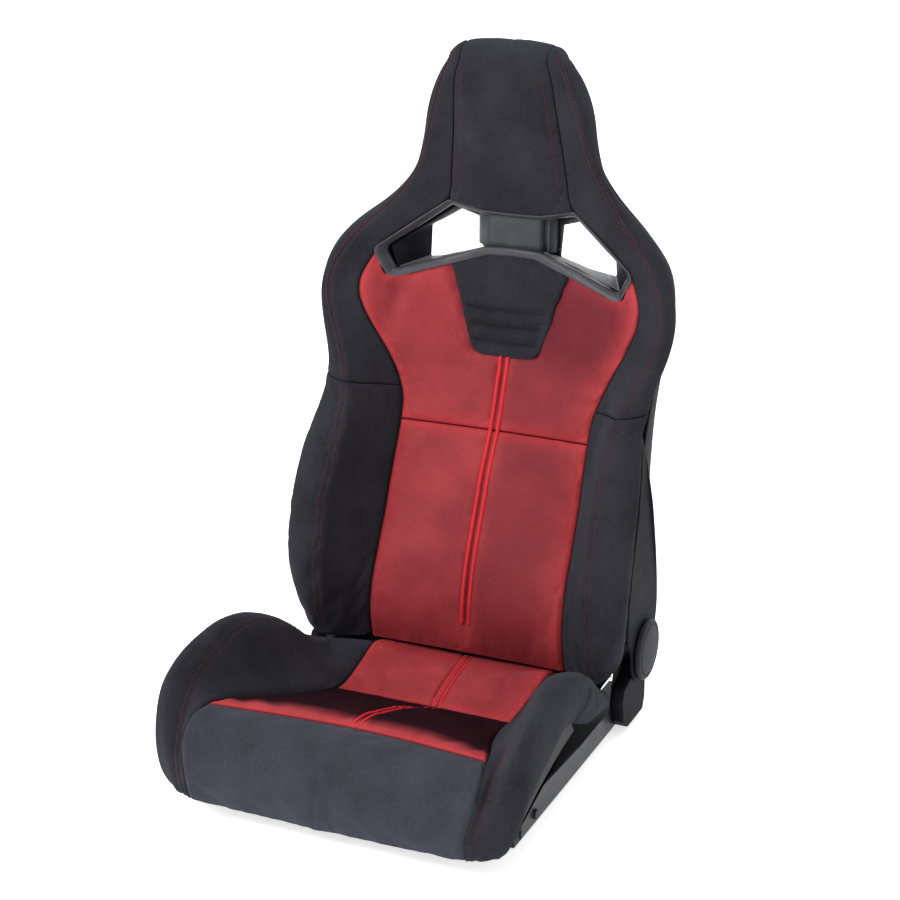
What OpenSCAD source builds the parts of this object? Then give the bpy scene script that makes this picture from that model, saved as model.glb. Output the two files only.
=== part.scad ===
// Reclining racing seat: a sprung steel seat base on two bolt-down rails, and a
// winged backrest with a fixed headrest and two harness openings.
// X runs across the seat, -Y is the way the sitter faces, Z is up.
// The origin is the centre of the four base bolt holes, on the rails' underside.

/* [Base rails] */
// Distance between the bolt rows, left to right
bolt_x = 420; // [400:5:430]
// Distance between the bolt rows, front to back
bolt_y = 286; // [260:2:300]
// Radius of the M8 clearance holes
bolt_hole_r = 4.2; // [4.1:0.1:4.5]
// Width of a rail
rail_w = 30; // [26:1:32]
// Height of a rail
rail_h = 38; // [34:1:40]
// Sheet thickness of a rail
rail_wall = 2.5; // [2:0.5:3]

/* [Recliner] */
// How far the recline axis is behind the bolt pattern's centre
pivot_y = 205; // [203:1:207]
// Height of the recline axis
pivot_z = 113; // [111:1:115]
// Radius of the cross shaft
shaft_r = 6; // [5:0.5:6]
// Radius of a handwheel
wheel_r = 45; // [40:1:46]
// Outer face of a handwheel, from the centre
wheel_x = 265; // [264:1:267]

/* [Upholstery] */
// Thickness of the panel pads
pad_t = 30; // [24:1:32]
// Gap between neighbouring pads
gap = 0.6; // [0.4:0.1:1]

/* [Shell] */
// Thickness of the rear shell
shell_t = 3; // [2.5:0.5:4]

/* [Hidden] */
$fn = 48;

suede = [0.17, 0.17, 0.20];
red_cloth = [0.62, 0.15, 0.17];
plastic = [0.22, 0.22, 0.24];
steel = [0.12, 0.12, 0.13];
zinc = [0.7, 0.7, 0.68];

rail_x = bolt_x / 2;
tube_r = 8;
tube_z = 12;
tube_front = -114;
tube_back = 214;
rail_front = -208;
rail_back = 232;

// Sheet-metal planes beside the recline axis, from the inside out
arm_x = 212;      // backrest arm, 4 thick
moving_x = 216.2; // moving half, 5 thick
fixed_x = 221.5;  // fixed half, 5 thick
side_x = 226.7;   // base side plate, 3.5 thick
cover_x = 231;    // base cover, out to cover_out
cover_out = 250;
ear_x = 251;      // side cover, 4 thick

// ---- helpers -------------------------------------------------------------

// Smooth curve through stations [position, value], with natural slopes
function slope(p, i) =
    let (a = max(i - 1, 0), b = min(i + 1, len(p) - 1)) (p[b][1] - p[a][1]) / (p[b][0] - p[a][0]);
function cell(p, x, i = 0) = (i >= len(p) - 2 || x <= p[i + 1][0]) ? i : cell(p, x, i + 1);
function curve(p, x) =
    let (i = cell(p, x), h = p[i + 1][0] - p[i][0], t = min(max((x - p[i][0]) / h, 0), 1))
    p[i][1] * (1 + 2 * t) * pow(1 - t, 2) + p[i + 1][1] * t * t * (3 - 2 * t)
    + slope(p, i) * h * t * pow(1 - t, 2) - slope(p, i + 1) * h * t * t * (1 - t);
// One column of a station list, as [position, value] pairs
function column(s, k) = [for (row = s) [row[0], row[k]]];
function steps(a, b, n) = [for (i = [0:n]) a + (b - a) * i / n];
function mix(a, b, t) = a + (b - a) * t;

// Closed solid through rings with the same number of points, each running
// anticlockwise as seen from the last ring
module loft(rings) {
    n = len(rings[0]);
    m = len(rings);
    sides = [for (j = [0:m - 2]) for (i = [0:n - 1]) for (half = [0, 1])
        let (a = j * n + i, b = j * n + (i + 1) % n)
        half == 0 ? [a, b + n, b] : [a, a + n, b + n]];
    polyhedron(points = [for (ring = rings) for (p = ring) p],
        faces = concat(sides, [[for (i = [0:n - 1]) i]], [[for (i = [n - 1:-1:0]) (m - 1) * n + i]]));
}

// Ring-shaped solid: the last ring is joined to the first
module loop(rings) {
    n = len(rings[0]);
    m = len(rings);
    polyhedron(points = [for (ring = rings) for (p = ring) p],
        faces = [for (j = [0:m - 1]) for (i = [0:n - 1]) for (half = [0, 1])
            let (k = (j + 1) % m, a = j * n + i, b = j * n + (i + 1) % n,
                c = k * n + (i + 1) % n, d = k * n + i)
            half == 0 ? [a, c, b] : [a, d, c]]);
}

// Closed slab between two point grids of the same size
module slab(top, low) {
    m = len(top);
    n = len(top[0]);
    q = m * n;
    skin = [for (j = [0:m - 2]) for (i = [0:n - 2]) for (half = [0, 1]) let (a = j * n + i)
        half == 0 ? [a, a + n + 1, a + 1] : [a, a + n, a + n + 1]];
    rim = concat([for (i = [0:n - 1]) i], [for (j = [1:m - 1]) j * n + n - 1],
        [for (i = [n - 2:-1:0]) (m - 1) * n + i], [for (j = [m - 2:-1:1]) j * n]);
    polyhedron(points = concat([for (row = top) for (p = row) p], [for (row = low) for (p = row) p]),
        faces = concat(skin, [for (f = skin) [f[2] + q, f[1] + q, f[0] + q]],
            [for (i = [0:len(rim) - 1]) for (half = [0, 1])
                let (a = rim[i], b = rim[(i + 1) % len(rim)])
                half == 0 ? [a, b, b + q] : [a, b + q, a + q]]));
}

// Round rings along a path, for bent tubes and wires
function unit(v) = v / norm(v);
function ring_at(path, i, r, sides) =
    let (m = len(path), t = unit(path[min(i + 1, m - 1)] - path[max(i - 1, 0)]),
        side = unit(cross(t, abs(t[0]) > 0.9 ? [0, 1, 0] : [1, 0, 0])), up = cross(t, side))
    [for (k = [0:sides - 1]) path[i] + r * (side * cos(360 * k / sides) + up * sin(360 * k / sides))];
module wire(path, r, sides = 8) { loft([for (i = [0:len(path) - 1]) ring_at(path, i, r, sides)]); }
// Bent tube with open ends
module tube(path, r, wall, sides = 16) {
    m = len(path);
    loop(concat([for (i = [0:m - 1]) ring_at(path, i, r, sides)],
        [for (i = [m - 1:-1:0]) ring_at(path, i, r - wall, sides)]));
}
// Plate in the Y-Z plane: the 2D shape is drawn as (Y, Z), from x0 outwards
module side_plate(x0, t) { translate([x0, 0, 0]) rotate([90, 0, 90]) linear_extrude(t) children(); }
module pivot_circle(r) { translate([pivot_y, pivot_z]) circle(r = r); }
// The left-hand piece is the mirror image of the right-hand one
module other_side() { mirror([1, 0, 0]) children(); }
module both_sides() {
    children();
    mirror([1, 0, 0]) children();
}

// ---- outlines of the upholstery -------------------------------------------

// Backrest below the shoulders: height, then the seam (x, y), the ridge (x, y),
// the widest point (x, y) and the rear edge (y)
back_sections = [
    [ 92, 152, 154, 206, 112, 238, 128, 148],
    [150, 152, 145, 208,  90, 254, 112, 146],
    [210, 150, 163, 208,  86, 262, 114, 146],
    [250, 150, 184, 207,  90, 264, 120, 150],
    [310, 150, 211, 206, 108, 263, 137, 162],
    [370, 148, 236, 204, 139, 258, 161, 184],
    [430, 148, 257, 206, 174, 249, 194, 214],
    [465, 162, 263, 212, 196, 248, 211, 232]];
// The same for the shoulders, up to the neck
wing_sections = [
    [466, 162, 263, 212, 196, 248, 211, 240],
    [510, 186, 257, 232, 217, 258, 228, 262],
    [550, 207, 249, 247, 227, 270, 240, 280],
    [585, 219, 248, 253, 229, 272, 248, 292],
    [620, 209, 262, 246, 238, 266, 255, 304],
    [645, 200, 272, 235, 248, 259, 265, 312],
    [680, 150, 291, 207, 264, 231, 288, 326],
    [708, 110, 306, 178, 280, 194, 304, 336],
    [732,  96, 309, 150, 290, 168, 307, 342]];
// The same for the sides of the headrest
head_sections = [
    [733,  92, 303, 149, 290, 167, 307, 343],
    [765,  89, 300, 132, 278, 143, 308, 346],
    [800,  86, 294, 122, 271, 133, 306, 346],
    [850,  80, 283, 108, 266, 120, 303, 342],
    [900,  76, 275,  97, 262, 106, 300, 336],
    [930,  62, 274,  80, 266,  87, 298, 326],
    [944,  34, 282,  46, 276,  52, 300, 318]];
// Centre line of the backrest's front: height and depth
back_centre = [[80, 156], [126, 150], [176, 155], [220, 167], [261, 185], [306, 205],
    [338, 220], [395, 257], [454, 276], [490, 289], [560, 302], [640, 316]];
// Half width of the middle panels
back_half = [for (s = back_sections) [s[0], s[1]]];

// Closed ring of a side bolster at height z
function bolster_ring(s, z) =
    let (sx = curve(column(s, 1), z), sy = curve(column(s, 2), z),
        rx = curve(column(s, 3), z), ry = curve(column(s, 4), z),
        wx = curve(column(s, 5), z), wy = curve(column(s, 6), z), by = curve(column(s, 7), z))
    [[sx + gap, sy, z], [mix(sx, rx, 0.45), mix(sy, ry, 0.38), z], [mix(sx, rx, 0.8), mix(sy, ry, 0.8), z],
        [rx, ry, z], [mix(rx, wx, 0.5), ry - 3, z], [mix(rx, wx, 0.85), mix(ry, wy, 0.4), z],
        [wx, wy, z], [min(mix(wx, 245, 0.3), 250), mix(wy, by, 0.5), z], [min(wx - 14, 248), by, z],
        [sx + gap, max(by, sy + 8), z]];
module side_pad(s, n) { loft([for (z = steps(s[0][0], s[len(s) - 1][0], n)) bolster_ring(s, z)]); }

// Middle panel of the backrest: half width and depth at height z
function panel_half(z) = z < 465 ? curve(column(back_sections, 1), z) : curve(column(wing_sections, 1), z);
function panel_y(x, z) = mix(curve(back_centre, z),
    z < 465 ? curve(column(back_sections, 2), z) : curve(column(wing_sections, 2), z),
    pow(abs(x) / panel_half(z), 2.5));
function panel_ring(z, thick) =
    let (w = panel_half(z))
    concat([for (t = steps(-1, 1, 8)) [w * t, panel_y(w * t, z), z]],
        [for (t = steps(1, -1, 8)) [w * t, panel_y(w * t, z) + thick, z]]);

// Cushion: position along Y, then the seam (x, z), the stitch (x, z), the crest
// (x, z), the widest x and the height of the lower edge
cushion_sections = [
    [-316, 205,  50, 208,  62, 222,  72, 240,  24],
    [-302, 207,  76, 212,  90, 236, 104, 257,  15],
    [-275, 208, 112, 218, 124, 246, 150, 264,  26],
    [-242, 202, 139, 225, 155, 248, 181, 266,  52],
    [-190, 184, 126, 226, 175, 243, 198, 266,  76],
    [-125, 160, 104, 222, 190, 239, 203, 266,  98],
    [ -60, 144,  83, 218, 180, 239, 187, 264, 104],
    [   0, 134,  67, 214, 150, 238, 155, 260,  84],
    [  60, 135,  73, 206, 108, 232, 107, 252,  72],
    [ 100, 137,  81, 200,  88, 226,  84, 244,  66],
    [ 122, 138,  84, 196,  80, 220,  76, 236,  64]];
cushion_centre = [[-215, 129], [-190, 132], [-149, 121], [-106, 107], [-40, 81], [10, 54], [38, 45],
    [77, 55], [130, 66], [150, 70], [172, 70]];
function cushion_ring(y) =
    let (s = cushion_sections, c = [for (k = [1:8]) curve(column(s, k), y)])
    [[c[0] + gap, y, c[1]], [mix(c[0], c[2], 0.6), y, mix(c[1], c[3], 0.5)], [c[2], y, c[3]],
        [mix(c[2], c[4], 0.5), y, mix(c[3], c[5], 0.8)], [c[4], y, c[5]],
        [mix(c[4], c[6], 0.6), y, c[5] - 6], [c[6], y, mix(c[5], c[7], 0.35)],
        [c[6] - 2, y, mix(c[5], c[7], 0.8)],
        [c[6] - 12, y, c[7]], [mix(c[0], c[6], 0.3), y, min(c[7], c[1] - 14)],
        [c[0] + gap, y, min(c[7], c[1] - 16)]];
// Height of the pan's top under the cushion
function pan_top(y) = curve([[-300, 44], [-200, 34], [-60, 14], [60, 12], [130, 22], [150, 26]], y);
function insert_point(y, t) = [curve(column(cushion_sections, 1), y) * t, y,
    mix(curve(cushion_centre, y), curve(column(cushion_sections, 2), y), pow(abs(t), 2.5))];
// Behind the sitter the rear panel runs on under the backrest
function insert_ring(y) =
    let (w = curve(column(cushion_sections, 1), y), c = curve(cushion_centre, y),
        e = y < 136 ? curve(column(cushion_sections, 2), y) : curve([[136, 84], [150, 78], [172, 68]], y),
        low = pan_top(y) + 2)
    concat([for (t = steps(-1, 1, 8)) [w * t, y, mix(c, e, pow(abs(t), 2.5))]],
        [for (t = steps(1, -1, 2)) [w * t, y, low]]);

// ---- seat base -------------------------------------------------------------

module rail() {
    difference() {
        translate([rail_x - rail_w / 2, rail_front, 0]) cube([rail_w, rail_back - rail_front, rail_h]);
        translate([rail_x - rail_w / 2 + rail_wall, rail_front - 1, rail_wall])
            cube([rail_w - 2 * rail_wall, rail_back - rail_front + 2, rail_h - 2 * rail_wall]);
        for (side = [-1, 1]) translate([rail_x, side * bolt_y / 2, 0]) {
            translate([0, 0, -1]) cylinder(r = bolt_hole_r, h = rail_wall + 2);
            translate([0, 0, rail_h - rail_wall - 1]) cylinder(r = 9, h = rail_wall + 2);
        }
        // Nose of the rail is cut back at the top
        translate([0, rail_front - 1, rail_h - 8]) rotate([-35, 0, 0])
            translate([150, -40, 0]) cube([100, 45, 40]);
        // Holes the cross tubes are welded into
        for (y = [tube_front, tube_back]) translate([0, y, tube_z]) rotate([0, 90, 0])
            cylinder(r = tube_r, h = 300);
        // Small tooling hole near the front of the outer face
        translate([rail_x, -160, 20]) rotate([0, 90, 0]) cylinder(r = 4, h = 30);
    }
}
module nut_row() {
    for (side = [-1, 1]) translate([rail_x, side * bolt_y / 2, rail_wall]) difference() {
        cylinder(r = 7.5, h = 6.5, $fn = 6);
        translate([0, 0, -1]) cylinder(r = bolt_hole_r, h = 9);
    }
}
module cross_tube(y, z, r, reach) {
    rotate([0, 90, 0]) translate([-z, y, -reach]) difference() {
        cylinder(r = r, h = 2 * reach);
        translate([0, 0, -1]) cylinder(r = r - 2, h = 2 * reach + 2);
    }
}

// Pressed side member with the recliner plate; it stands on the rail
module base_side() {
    difference() {
        union() {
            side_plate(side_x, 3.5) union() {
                pivot_circle(42);
                polygon([[140, 6], [228, 6], [228, 60], [pivot_y + 40, pivot_z], [pivot_y - 40, pivot_z],
                    [150, 70]]);
                polygon([[-196, 8], [150, 6], [150, 40], [20, 40], [-150, 50], [-196, 34]]);
            }
        }
        side_plate(side_x - 1, 6) pivot_circle(shaft_r + 0.1);
    }
}
module bolt_heads() {
    for (p = [[-150, 22], [195, 22]]) side_plate(side_x + 3.5, 4) translate(p) circle(r = 7);
}
module recliner_half(x0, r, t, bore) {
    difference() {
        side_plate(x0, t) pivot_circle(r);
        side_plate(x0 - 1, t + 2) pivot_circle(bore);
        for (k = [0:5]) side_plate(x0 - 1, t + 2)
            translate([pivot_y + 22 * cos(60 * k), pivot_z + 22 * sin(60 * k)]) circle(r = 2.5);
    }
}
// Trim box over the base end of the recliner
cover_outline = [[162, 6], [140, 22], [134, 58], [142, 72], [172, 82], [186, 98], [224, 98], [234, 62],
    [234, 24], [226, 6]];
module recliner_cover() {
    difference() {
        side_plate(cover_x, cover_out - cover_x) polygon(cover_outline);
        side_plate(cover_x - 1, cover_out - cover_x - 1.5)
            polygon([[166, 9], [144, 25], [138, 57], [145, 69], [174, 79], [188, 95], [222, 95], [231, 61],
                [231, 26], [224, 9]]);
        side_plate(cover_x - 1, 30) pivot_circle(19);
    }
}
// Trim strip under the side of the cushion
module side_valance() {
    side_plate(238, 3) polygon([[-232, 34], [-206, 46], [-140, 74], [-62, 94], [-32, 80], [-36, 64],
        [-120, 48], [-196, 30]]);
}
// Flat zigzag springs across the windows of the pan
module pan_springs_set() {
    for (x = [-132, -97, -35, 5, 62, 97]) wire([for (i = [0:10]) [x + (i % 2) * 30, 20 * i - 84, 7.5]], 1.6);
}
module seat_pan() {
    difference() {
        loft([for (y = steps(148, -206, 12)) [[-195, y, pan_top(y)], [195, y, pan_top(y)],
            [195, y, pan_top(y) + 1.5], [-195, y, pan_top(y) + 1.5]]]);
        for (x = [-140, -43, 54]) translate([x, -74, 0]) cube([86, 180, 60]);
    }
}

// ---- cushion ---------------------------------------------------------------

// The front seam of the red panel bows forwards towards the sides
function front_bow(t, share) = [0, -32 * share * t * t, 10 * share * t * t];
module cushion_rear() { loft([for (y = steps(0.3, 172, 9)) insert_ring(y)]); }
module cushion_front() {
    ts = steps(-1, 1, 8);
    ys = steps(-214, -0.3, 8);
    slab([for (y = ys) [for (t = ts) front_bow(t, pow(y / -214, 4)) + insert_point(y, t)]],
        [for (y = ys) [for (t = ts) front_bow(t, pow(y / -214, 4))
            + [insert_point(y, t)[0], y, pan_top(y) + 2 + max(0, -180 - y) / 20]]]);
}
// Front roll of the cushion, from the seam down to the lower edge
nose_profile = [[-215, 128], [-240, 134], [-268, 127], [-292, 110], [-307, 86], [-313, 58], [-311, 36],
    [-298, 16]];
nose_inside = [[-215, 52], [-228, 56], [-242, 56], [-254, 52], [-262, 48], [-266, 44], [-267, 36],
    [-266, 28]];
function nose_half(y) = curve(column(cushion_sections, 1), max(y, -310)) - 1.4;
module cushion_nose() {
    share = [1, 0.75, 0.4, 0.15, 0, 0, 0, 0];
    ts = steps(-1, 1, 8);
    function row(profile, i) = [for (t = ts) front_bow(t, share[i])
        + [nose_half(nose_profile[i][0]) * t, profile[i][0], profile[i][1]]];
    slab([for (i = [7:-1:0]) row(nose_profile, i)], [for (i = [7:-1:0]) row(nose_inside, i)]);
}
module cushion_bolster() { loft([for (y = steps(-316, 122, 22)) cushion_ring(y)]); }

// ---- backrest frame ----------------------------------------------------------

hoop_path = [[203, 214, 152], [202, 226, 250], [196, 254, 400], [200, 290, 520], [216, 304, 600],
    [206, 318, 680], [150, 332, 724], [90, 336, 742], [-90, 336, 742], [-150, 332, 724],
    [-206, 318, 680], [-216, 304, 600], [-200, 290, 520], [-196, 254, 400], [-202, 226, 250],
    [-203, 214, 152]];
module back_hoop() { tube(hoop_path, 8, 1.6); }
module head_hoop() {
    tube([[62, 327, 752], [60, 326, 820], [48, 318, 890], [24, 314, 916], [-24, 314, 916], [-48, 318, 890],
        [-60, 326, 820], [-62, 327, 752]], 5, 1.5);
}
module back_arm() {
    difference() {
        side_plate(arm_x, 4) union() {
            pivot_circle(38);
            polygon([[pivot_y - 26, pivot_z + 20], [pivot_y + 36, pivot_z + 10], [252, 260], [244, 330],
                [226, 330], [206, 240]]);
        }
        side_plate(arm_x - 1, 6) pivot_circle(shaft_r + 0.1);
    }
}
module lumbar_wires() {
    for (i = [0:4]) {
        z = 190 + 48 * i;
        y = curve([[150, 214], [250, 236], [330, 262], [400, 298]], z);
        e = curve([[152, 214], [250, 226], [400, 254]], z);
        wire([[-186, e, z], [-150, y, z + 10], [-100, y, z], [100, y, z], [150, y, z + 10],
            [186, e, z]], 1.8);
    }
}

// ---- rear shell and side covers ----------------------------------------------

// Height, half width at the front edge, depth of the front edge, depth of the back
shell_sections = [
    [104, 226, 250, 296],
    [170, 240, 214, 302],
    [230, 246, 190, 306],
    [350, 247, 196, 322],
    [440, 244, 224, 338],
    [500, 243, 264, 348],
    [560, 250, 288, 356],
    [600, 250, 302, 360],
    [645, 236, 318, 363],
    [690, 197, 332, 364],
    [730, 153, 344, 364],
    [765, 126, 348, 363],
    [800, 115, 348, 361],
    [850, 103, 344, 356],
    [900,  90, 338, 346],
    [930,  75, 327, 336],
    [944,  48, 319, 327]];
function shell_ring(z, in) =
    let (w = curve(column(shell_sections, 1), z) - in, f = curve(column(shell_sections, 2), z),
        b = curve(column(shell_sections, 3), z) - in)
    [for (a = steps(0, 180, 20)) let (c = cos(a), s = sin(a))
        [w * sign(c) * pow(abs(c), 0.55), f + (b - f) * pow(s, 0.7), z]];
module shell_skin() {
    zs = concat(steps(104, 600, 16), steps(622, 944, 15));
    loft([for (z = zs) concat(shell_ring(z, 0), [for (i = [20:-1:0]) shell_ring(z, shell_t)[i]])]);
}
// Rear mouth of a harness opening, as (X, Z)
duct_rear = [[58, 634], [62, 684], [96, 694], [146, 664], [148, 614], [104, 620]];
module back_shell() {
    difference() {
        shell_skin();
        both_sides() translate([0, 400, 0]) rotate([90, 0, 0]) linear_extrude(130) polygon(duct_rear);
        // Relief round the recline axis and the cross shaft
        translate([-300, pivot_y, pivot_z]) rotate([0, 90, 0]) cylinder(r = 52, h = 600);
    }
}
module side_cover() {
    difference() {
        side_plate(ear_x, 4) union() {
            pivot_circle(48);
            polygon([[194, 440], [186, 380], [164, 322], [146, 250], [136, 190], [134, 168],
                [144, 156], [160, 140], [160, 112], [252, 112], [262, 150], [254, 232], [232, 320],
                [214, 390], [200, 438]]);
        }
        side_plate(ear_x - 1, 6) pivot_circle(15);
    }
}
module shell_screw_set() {
    for (p = [[150, 220], [150, 460], [60, 560]]) {
        w = curve(column(shell_sections, 1), p[1]);
        f = curve(column(shell_sections, 2), p[1]);
        b = curve(column(shell_sections, 3), p[1]);
        c = pow((p[0] - 5) / w, 1 / 0.55);
        y = f + (b - f) * pow(1 - c * c, 0.35) + 0.9;
        translate([p[0], y, p[1]]) rotate([-90, 0, 0]) cylinder(r = 6, h = 2.5);
    }
}

// ---- backrest pads -------------------------------------------------------------

seam_z = 394;
module back_insert_lower() { loft([for (z = steps(80, seam_z - gap, 12)) panel_ring(z, pad_t)]); }
// The panels below the harness openings end along the bezel
function upper_top(t) = curve([[0, 632], [0.17, 632], [0.46, 612.5], [0.8, 594.5], [0.86, 595], [0.9, 608],
    [1, 625]], abs(t));
function upper_row(v, extra) = [for (t = steps(-1, 1, 20)) let (z = mix(seam_z, upper_top(t), v),
    x = (panel_half(z) - 1.2) * t) [x, panel_y(x, z) + extra, z]];
module back_insert_upper() {
    difference() {
        slab([for (v = steps(0, 1, 8)) upper_row(v, 0)], [for (v = steps(0, 1, 8)) upper_row(v, 24)]);
        translate([0, 400, 0]) rotate([90, 0, 0]) linear_extrude(200) polygon(patch_outline(gap));
    }
}
function patch_half(z) = 50 + 40 * (z - 496) / 123;
function patch_outline(g) = [[-patch_half(640) - g, 640], [-50 - g, 496 - g], [50 + g, 496 - g],
    [patch_half(640) + g, 640]];
function patch_row(v, extra) = [for (t = steps(-1, 1, 8)) let (z = mix(496, 633 - 16 * t * t, v),
    x = patch_half(z) * t) [x, panel_y(x, z) + extra, z]];
module shoulder_patch() {
    slab([for (v = steps(0, 1, 6)) patch_row(v, 0)], [for (v = steps(0, 1, 6)) patch_row(v, 24)]);
}
module back_bolster() { side_pad(back_sections, 18); }
module shoulder_wing() { side_pad(wing_sections, 16); }
module head_side() { side_pad(head_sections, 20); }
head_centre = [[700, 311], [712, 309], [760, 292], [810, 282], [860, 272], [905, 266], [930, 270],
    [948, 288]];
function head_half(z) = z < 733 ? 90 : curve(column(head_sections, 1), min(z, 944)) - 1.5;
function head_front(z, t) = mix(curve(head_centre, z),
    z < 733 ? 303 : curve(column(head_sections, 2), min(z, 944)), pow(abs(t), 2.5));
function head_back(z) = curve([[702, 322], [740, 320], [820, 318], [890, 308], [930, 306], [951, 312]], z);
function head_row(v, back) = [for (t = steps(-1, 1, 8)) let (z = mix(705 + 13 * t * t, 951 - 7 * t * t, v))
    [head_half(z) * t, back ? head_back(z) : head_front(z, t), z]];
module head_pad() {
    slab([for (v = steps(0, 1, 14)) head_row(v, false)], [for (v = steps(0, 1, 14)) head_row(v, true)]);
}

// ---- harness openings -----------------------------------------------------------

// Right half of the bezel's outer and inner edge
bezel_outer = [[0, 318, 702], [42, 317, 703], [80, 311, 712], [96, 309, 716], [150, 289, 678],
    [196, 271, 645], [199, 270, 636], [180, 277, 600], [170, 280, 599], [100, 303, 618], [36, 316, 637],
    [0, 318, 638]];
bezel_inner = [[0, 322, 694], [42, 321, 695], [82, 318, 703], [95, 318, 706], [142, 301, 672],
    [185, 285, 643], [187, 284, 636], [174, 285, 610], [166, 287, 611], [104, 306, 630], [42, 313, 649],
    [0, 316, 650]];
function flip(p) = [-p[0], p[1], p[2]];
function whole_loop(p) = concat(p, [for (i = [len(p) - 2:-1:1]) flip(p[i])]);
module harness_bezel() {
    o = whole_loop(bezel_outer);
    i = whole_loop(bezel_inner);
    loop([for (k = [0:len(o) - 1]) [o[k], i[k], i[k] + [0, 10, 0], o[k] + [0, 10, 0]]]);
}
// Tapered liner of one opening, open at both ends; front and rear outlines
duct_front = [[48, 322, 652], [48, 330, 690], [94, 331, 703], [184, 297, 642], [173, 297, 612],
    [120, 310, 626]];
duct_back = [[58, 356, 634], [62, 356, 684], [96, 356, 694], [146, 356, 664], [148, 356, 614],
    [104, 356, 620]];
function inward(p, mid) = p + 3 * unit([mid[0] - p[0], 0, mid[2] - p[2]]);
module harness_duct() {
    loop([for (k = [5:-1:0]) [duct_front[k], duct_back[k], inward(duct_back[k], [105, 0, 652]),
        inward(duct_front[k], [108, 0, 658])]]);
}
// Bridge between the openings, with bevelled sides
module centre_post() {
    translate([0, 0, 652]) linear_extrude(40)
        polygon([[-38, 323], [38, 323], [46, 331], [46, 352], [-46, 352], [-46, 331]]);
}

// ---- recliner drive ---------------------------------------------------------------

module cross_shaft() {
    rotate([0, 90, 0]) translate([-pivot_z, pivot_y, -wheel_x + 8])
        cylinder(r = shaft_r, h = 2 * wheel_x - 16);
}
module handwheel() {
    translate([0, pivot_y, pivot_z]) rotate([0, 90, 0]) rotate_extrude($fn = 64)
        polygon([[shaft_r, 246], [13, 246], [13, 256], [wheel_r - 2, 256], [wheel_r, 258], [wheel_r, 261],
            [wheel_r - 5, wheel_x - 1], [wheel_r - 8, wheel_x], [0, wheel_x + 1], [0, wheel_x - 8],
            [shaft_r, wheel_x - 8]]);
}

module place(side) { if (side < 0) other_side() children(); else children(); }

color(steel) place(-1) rail();  // rail_left
color(steel) place(1) rail();  // rail_right
color(steel) cross_tube(tube_front, tube_z, tube_r, side_x);  // front_cross_tube
color(steel) cross_tube(tube_back, tube_z, tube_r, side_x);  // rear_cross_tube
color(steel) place(-1) base_side();  // base_side_left
color(steel) place(1) base_side();  // base_side_right
color(steel) seat_pan();
color(zinc) pan_springs_set();  // pan_springs
color(zinc) place(-1) recliner_half(fixed_x, 36, 5, shaft_r + 0.1);  // recliner_fixed_left
color(zinc) place(1) recliner_half(fixed_x, 36, 5, shaft_r + 0.1);  // recliner_fixed_right
color(plastic) place(-1) recliner_cover();  // recliner_cover_left
color(plastic) place(1) recliner_cover();  // recliner_cover_right
color(plastic) place(-1) side_valance();  // side_valance_left
color(plastic) place(1) side_valance();  // side_valance_right
color(zinc) both_sides() nut_row();  // mount_nuts
color(zinc) both_sides() bolt_heads();  // frame_bolts
color(red_cloth) cushion_rear();
color(red_cloth) cushion_front();
color(suede) cushion_nose();
color(suede) place(-1) cushion_bolster();  // cushion_bolster_left
color(suede) place(1) cushion_bolster();  // cushion_bolster_right
color(steel) place(-1) back_arm();  // back_arm_left
color(steel) place(1) back_arm();  // back_arm_right
color(zinc) place(-1) recliner_half(moving_x, 33, 5, shaft_r + 0.1);  // recliner_moving_left
color(zinc) place(1) recliner_half(moving_x, 33, 5, shaft_r + 0.1);  // recliner_moving_right
color(steel) back_hoop();
color(steel) cross_tube(236, 158, 8, arm_x);  // back_lower_tube
color(steel) head_hoop();
color(zinc) lumbar_wires();
color(plastic) back_shell();
color(plastic) place(-1) side_cover();  // side_cover_left
color(plastic) place(1) side_cover();  // side_cover_right
color(steel) both_sides() shell_screw_set();  // shell_screws
color(red_cloth) back_insert_lower();
color(red_cloth) back_insert_upper();
color(suede) shoulder_patch();
color(suede) place(-1) back_bolster();  // back_bolster_left
color(suede) place(1) back_bolster();  // back_bolster_right
color(suede) place(-1) shoulder_wing();  // shoulder_wing_left
color(suede) place(1) shoulder_wing();  // shoulder_wing_right
color(suede) head_pad();
color(suede) place(-1) head_side();  // head_side_left
color(suede) place(1) head_side();  // head_side_right
color(plastic) harness_bezel();
color(plastic) place(-1) harness_duct();  // harness_duct_left
color(plastic) place(1) harness_duct();  // harness_duct_right
color(plastic) centre_post();
color(zinc) cross_shaft();
color(plastic) place(-1) handwheel();  // handwheel_left
color(plastic) place(1) handwheel();  // handwheel_right
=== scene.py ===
"""Looks of the reclining racing seat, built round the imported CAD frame. Lengths are in mm until mesh()."""
import math

import bmesh
import bpy
import numpy as np
from mathutils import Matrix, Vector


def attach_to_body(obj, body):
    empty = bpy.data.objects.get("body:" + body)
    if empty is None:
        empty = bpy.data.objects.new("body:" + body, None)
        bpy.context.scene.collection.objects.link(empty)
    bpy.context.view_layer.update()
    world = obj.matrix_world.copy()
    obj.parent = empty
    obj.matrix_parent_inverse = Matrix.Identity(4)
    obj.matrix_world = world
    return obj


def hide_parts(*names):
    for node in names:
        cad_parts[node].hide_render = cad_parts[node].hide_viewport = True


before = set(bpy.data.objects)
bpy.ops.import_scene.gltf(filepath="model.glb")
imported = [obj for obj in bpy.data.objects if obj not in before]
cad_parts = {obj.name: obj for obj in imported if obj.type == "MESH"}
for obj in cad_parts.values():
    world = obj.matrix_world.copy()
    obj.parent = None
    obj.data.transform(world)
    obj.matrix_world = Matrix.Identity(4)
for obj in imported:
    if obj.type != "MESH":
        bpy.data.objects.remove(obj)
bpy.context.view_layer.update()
MM = 0.001
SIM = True
SIDES = ((-1, "left"), (1, "right"))


# ---- curves and grids -----------------------------------------------------

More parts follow.
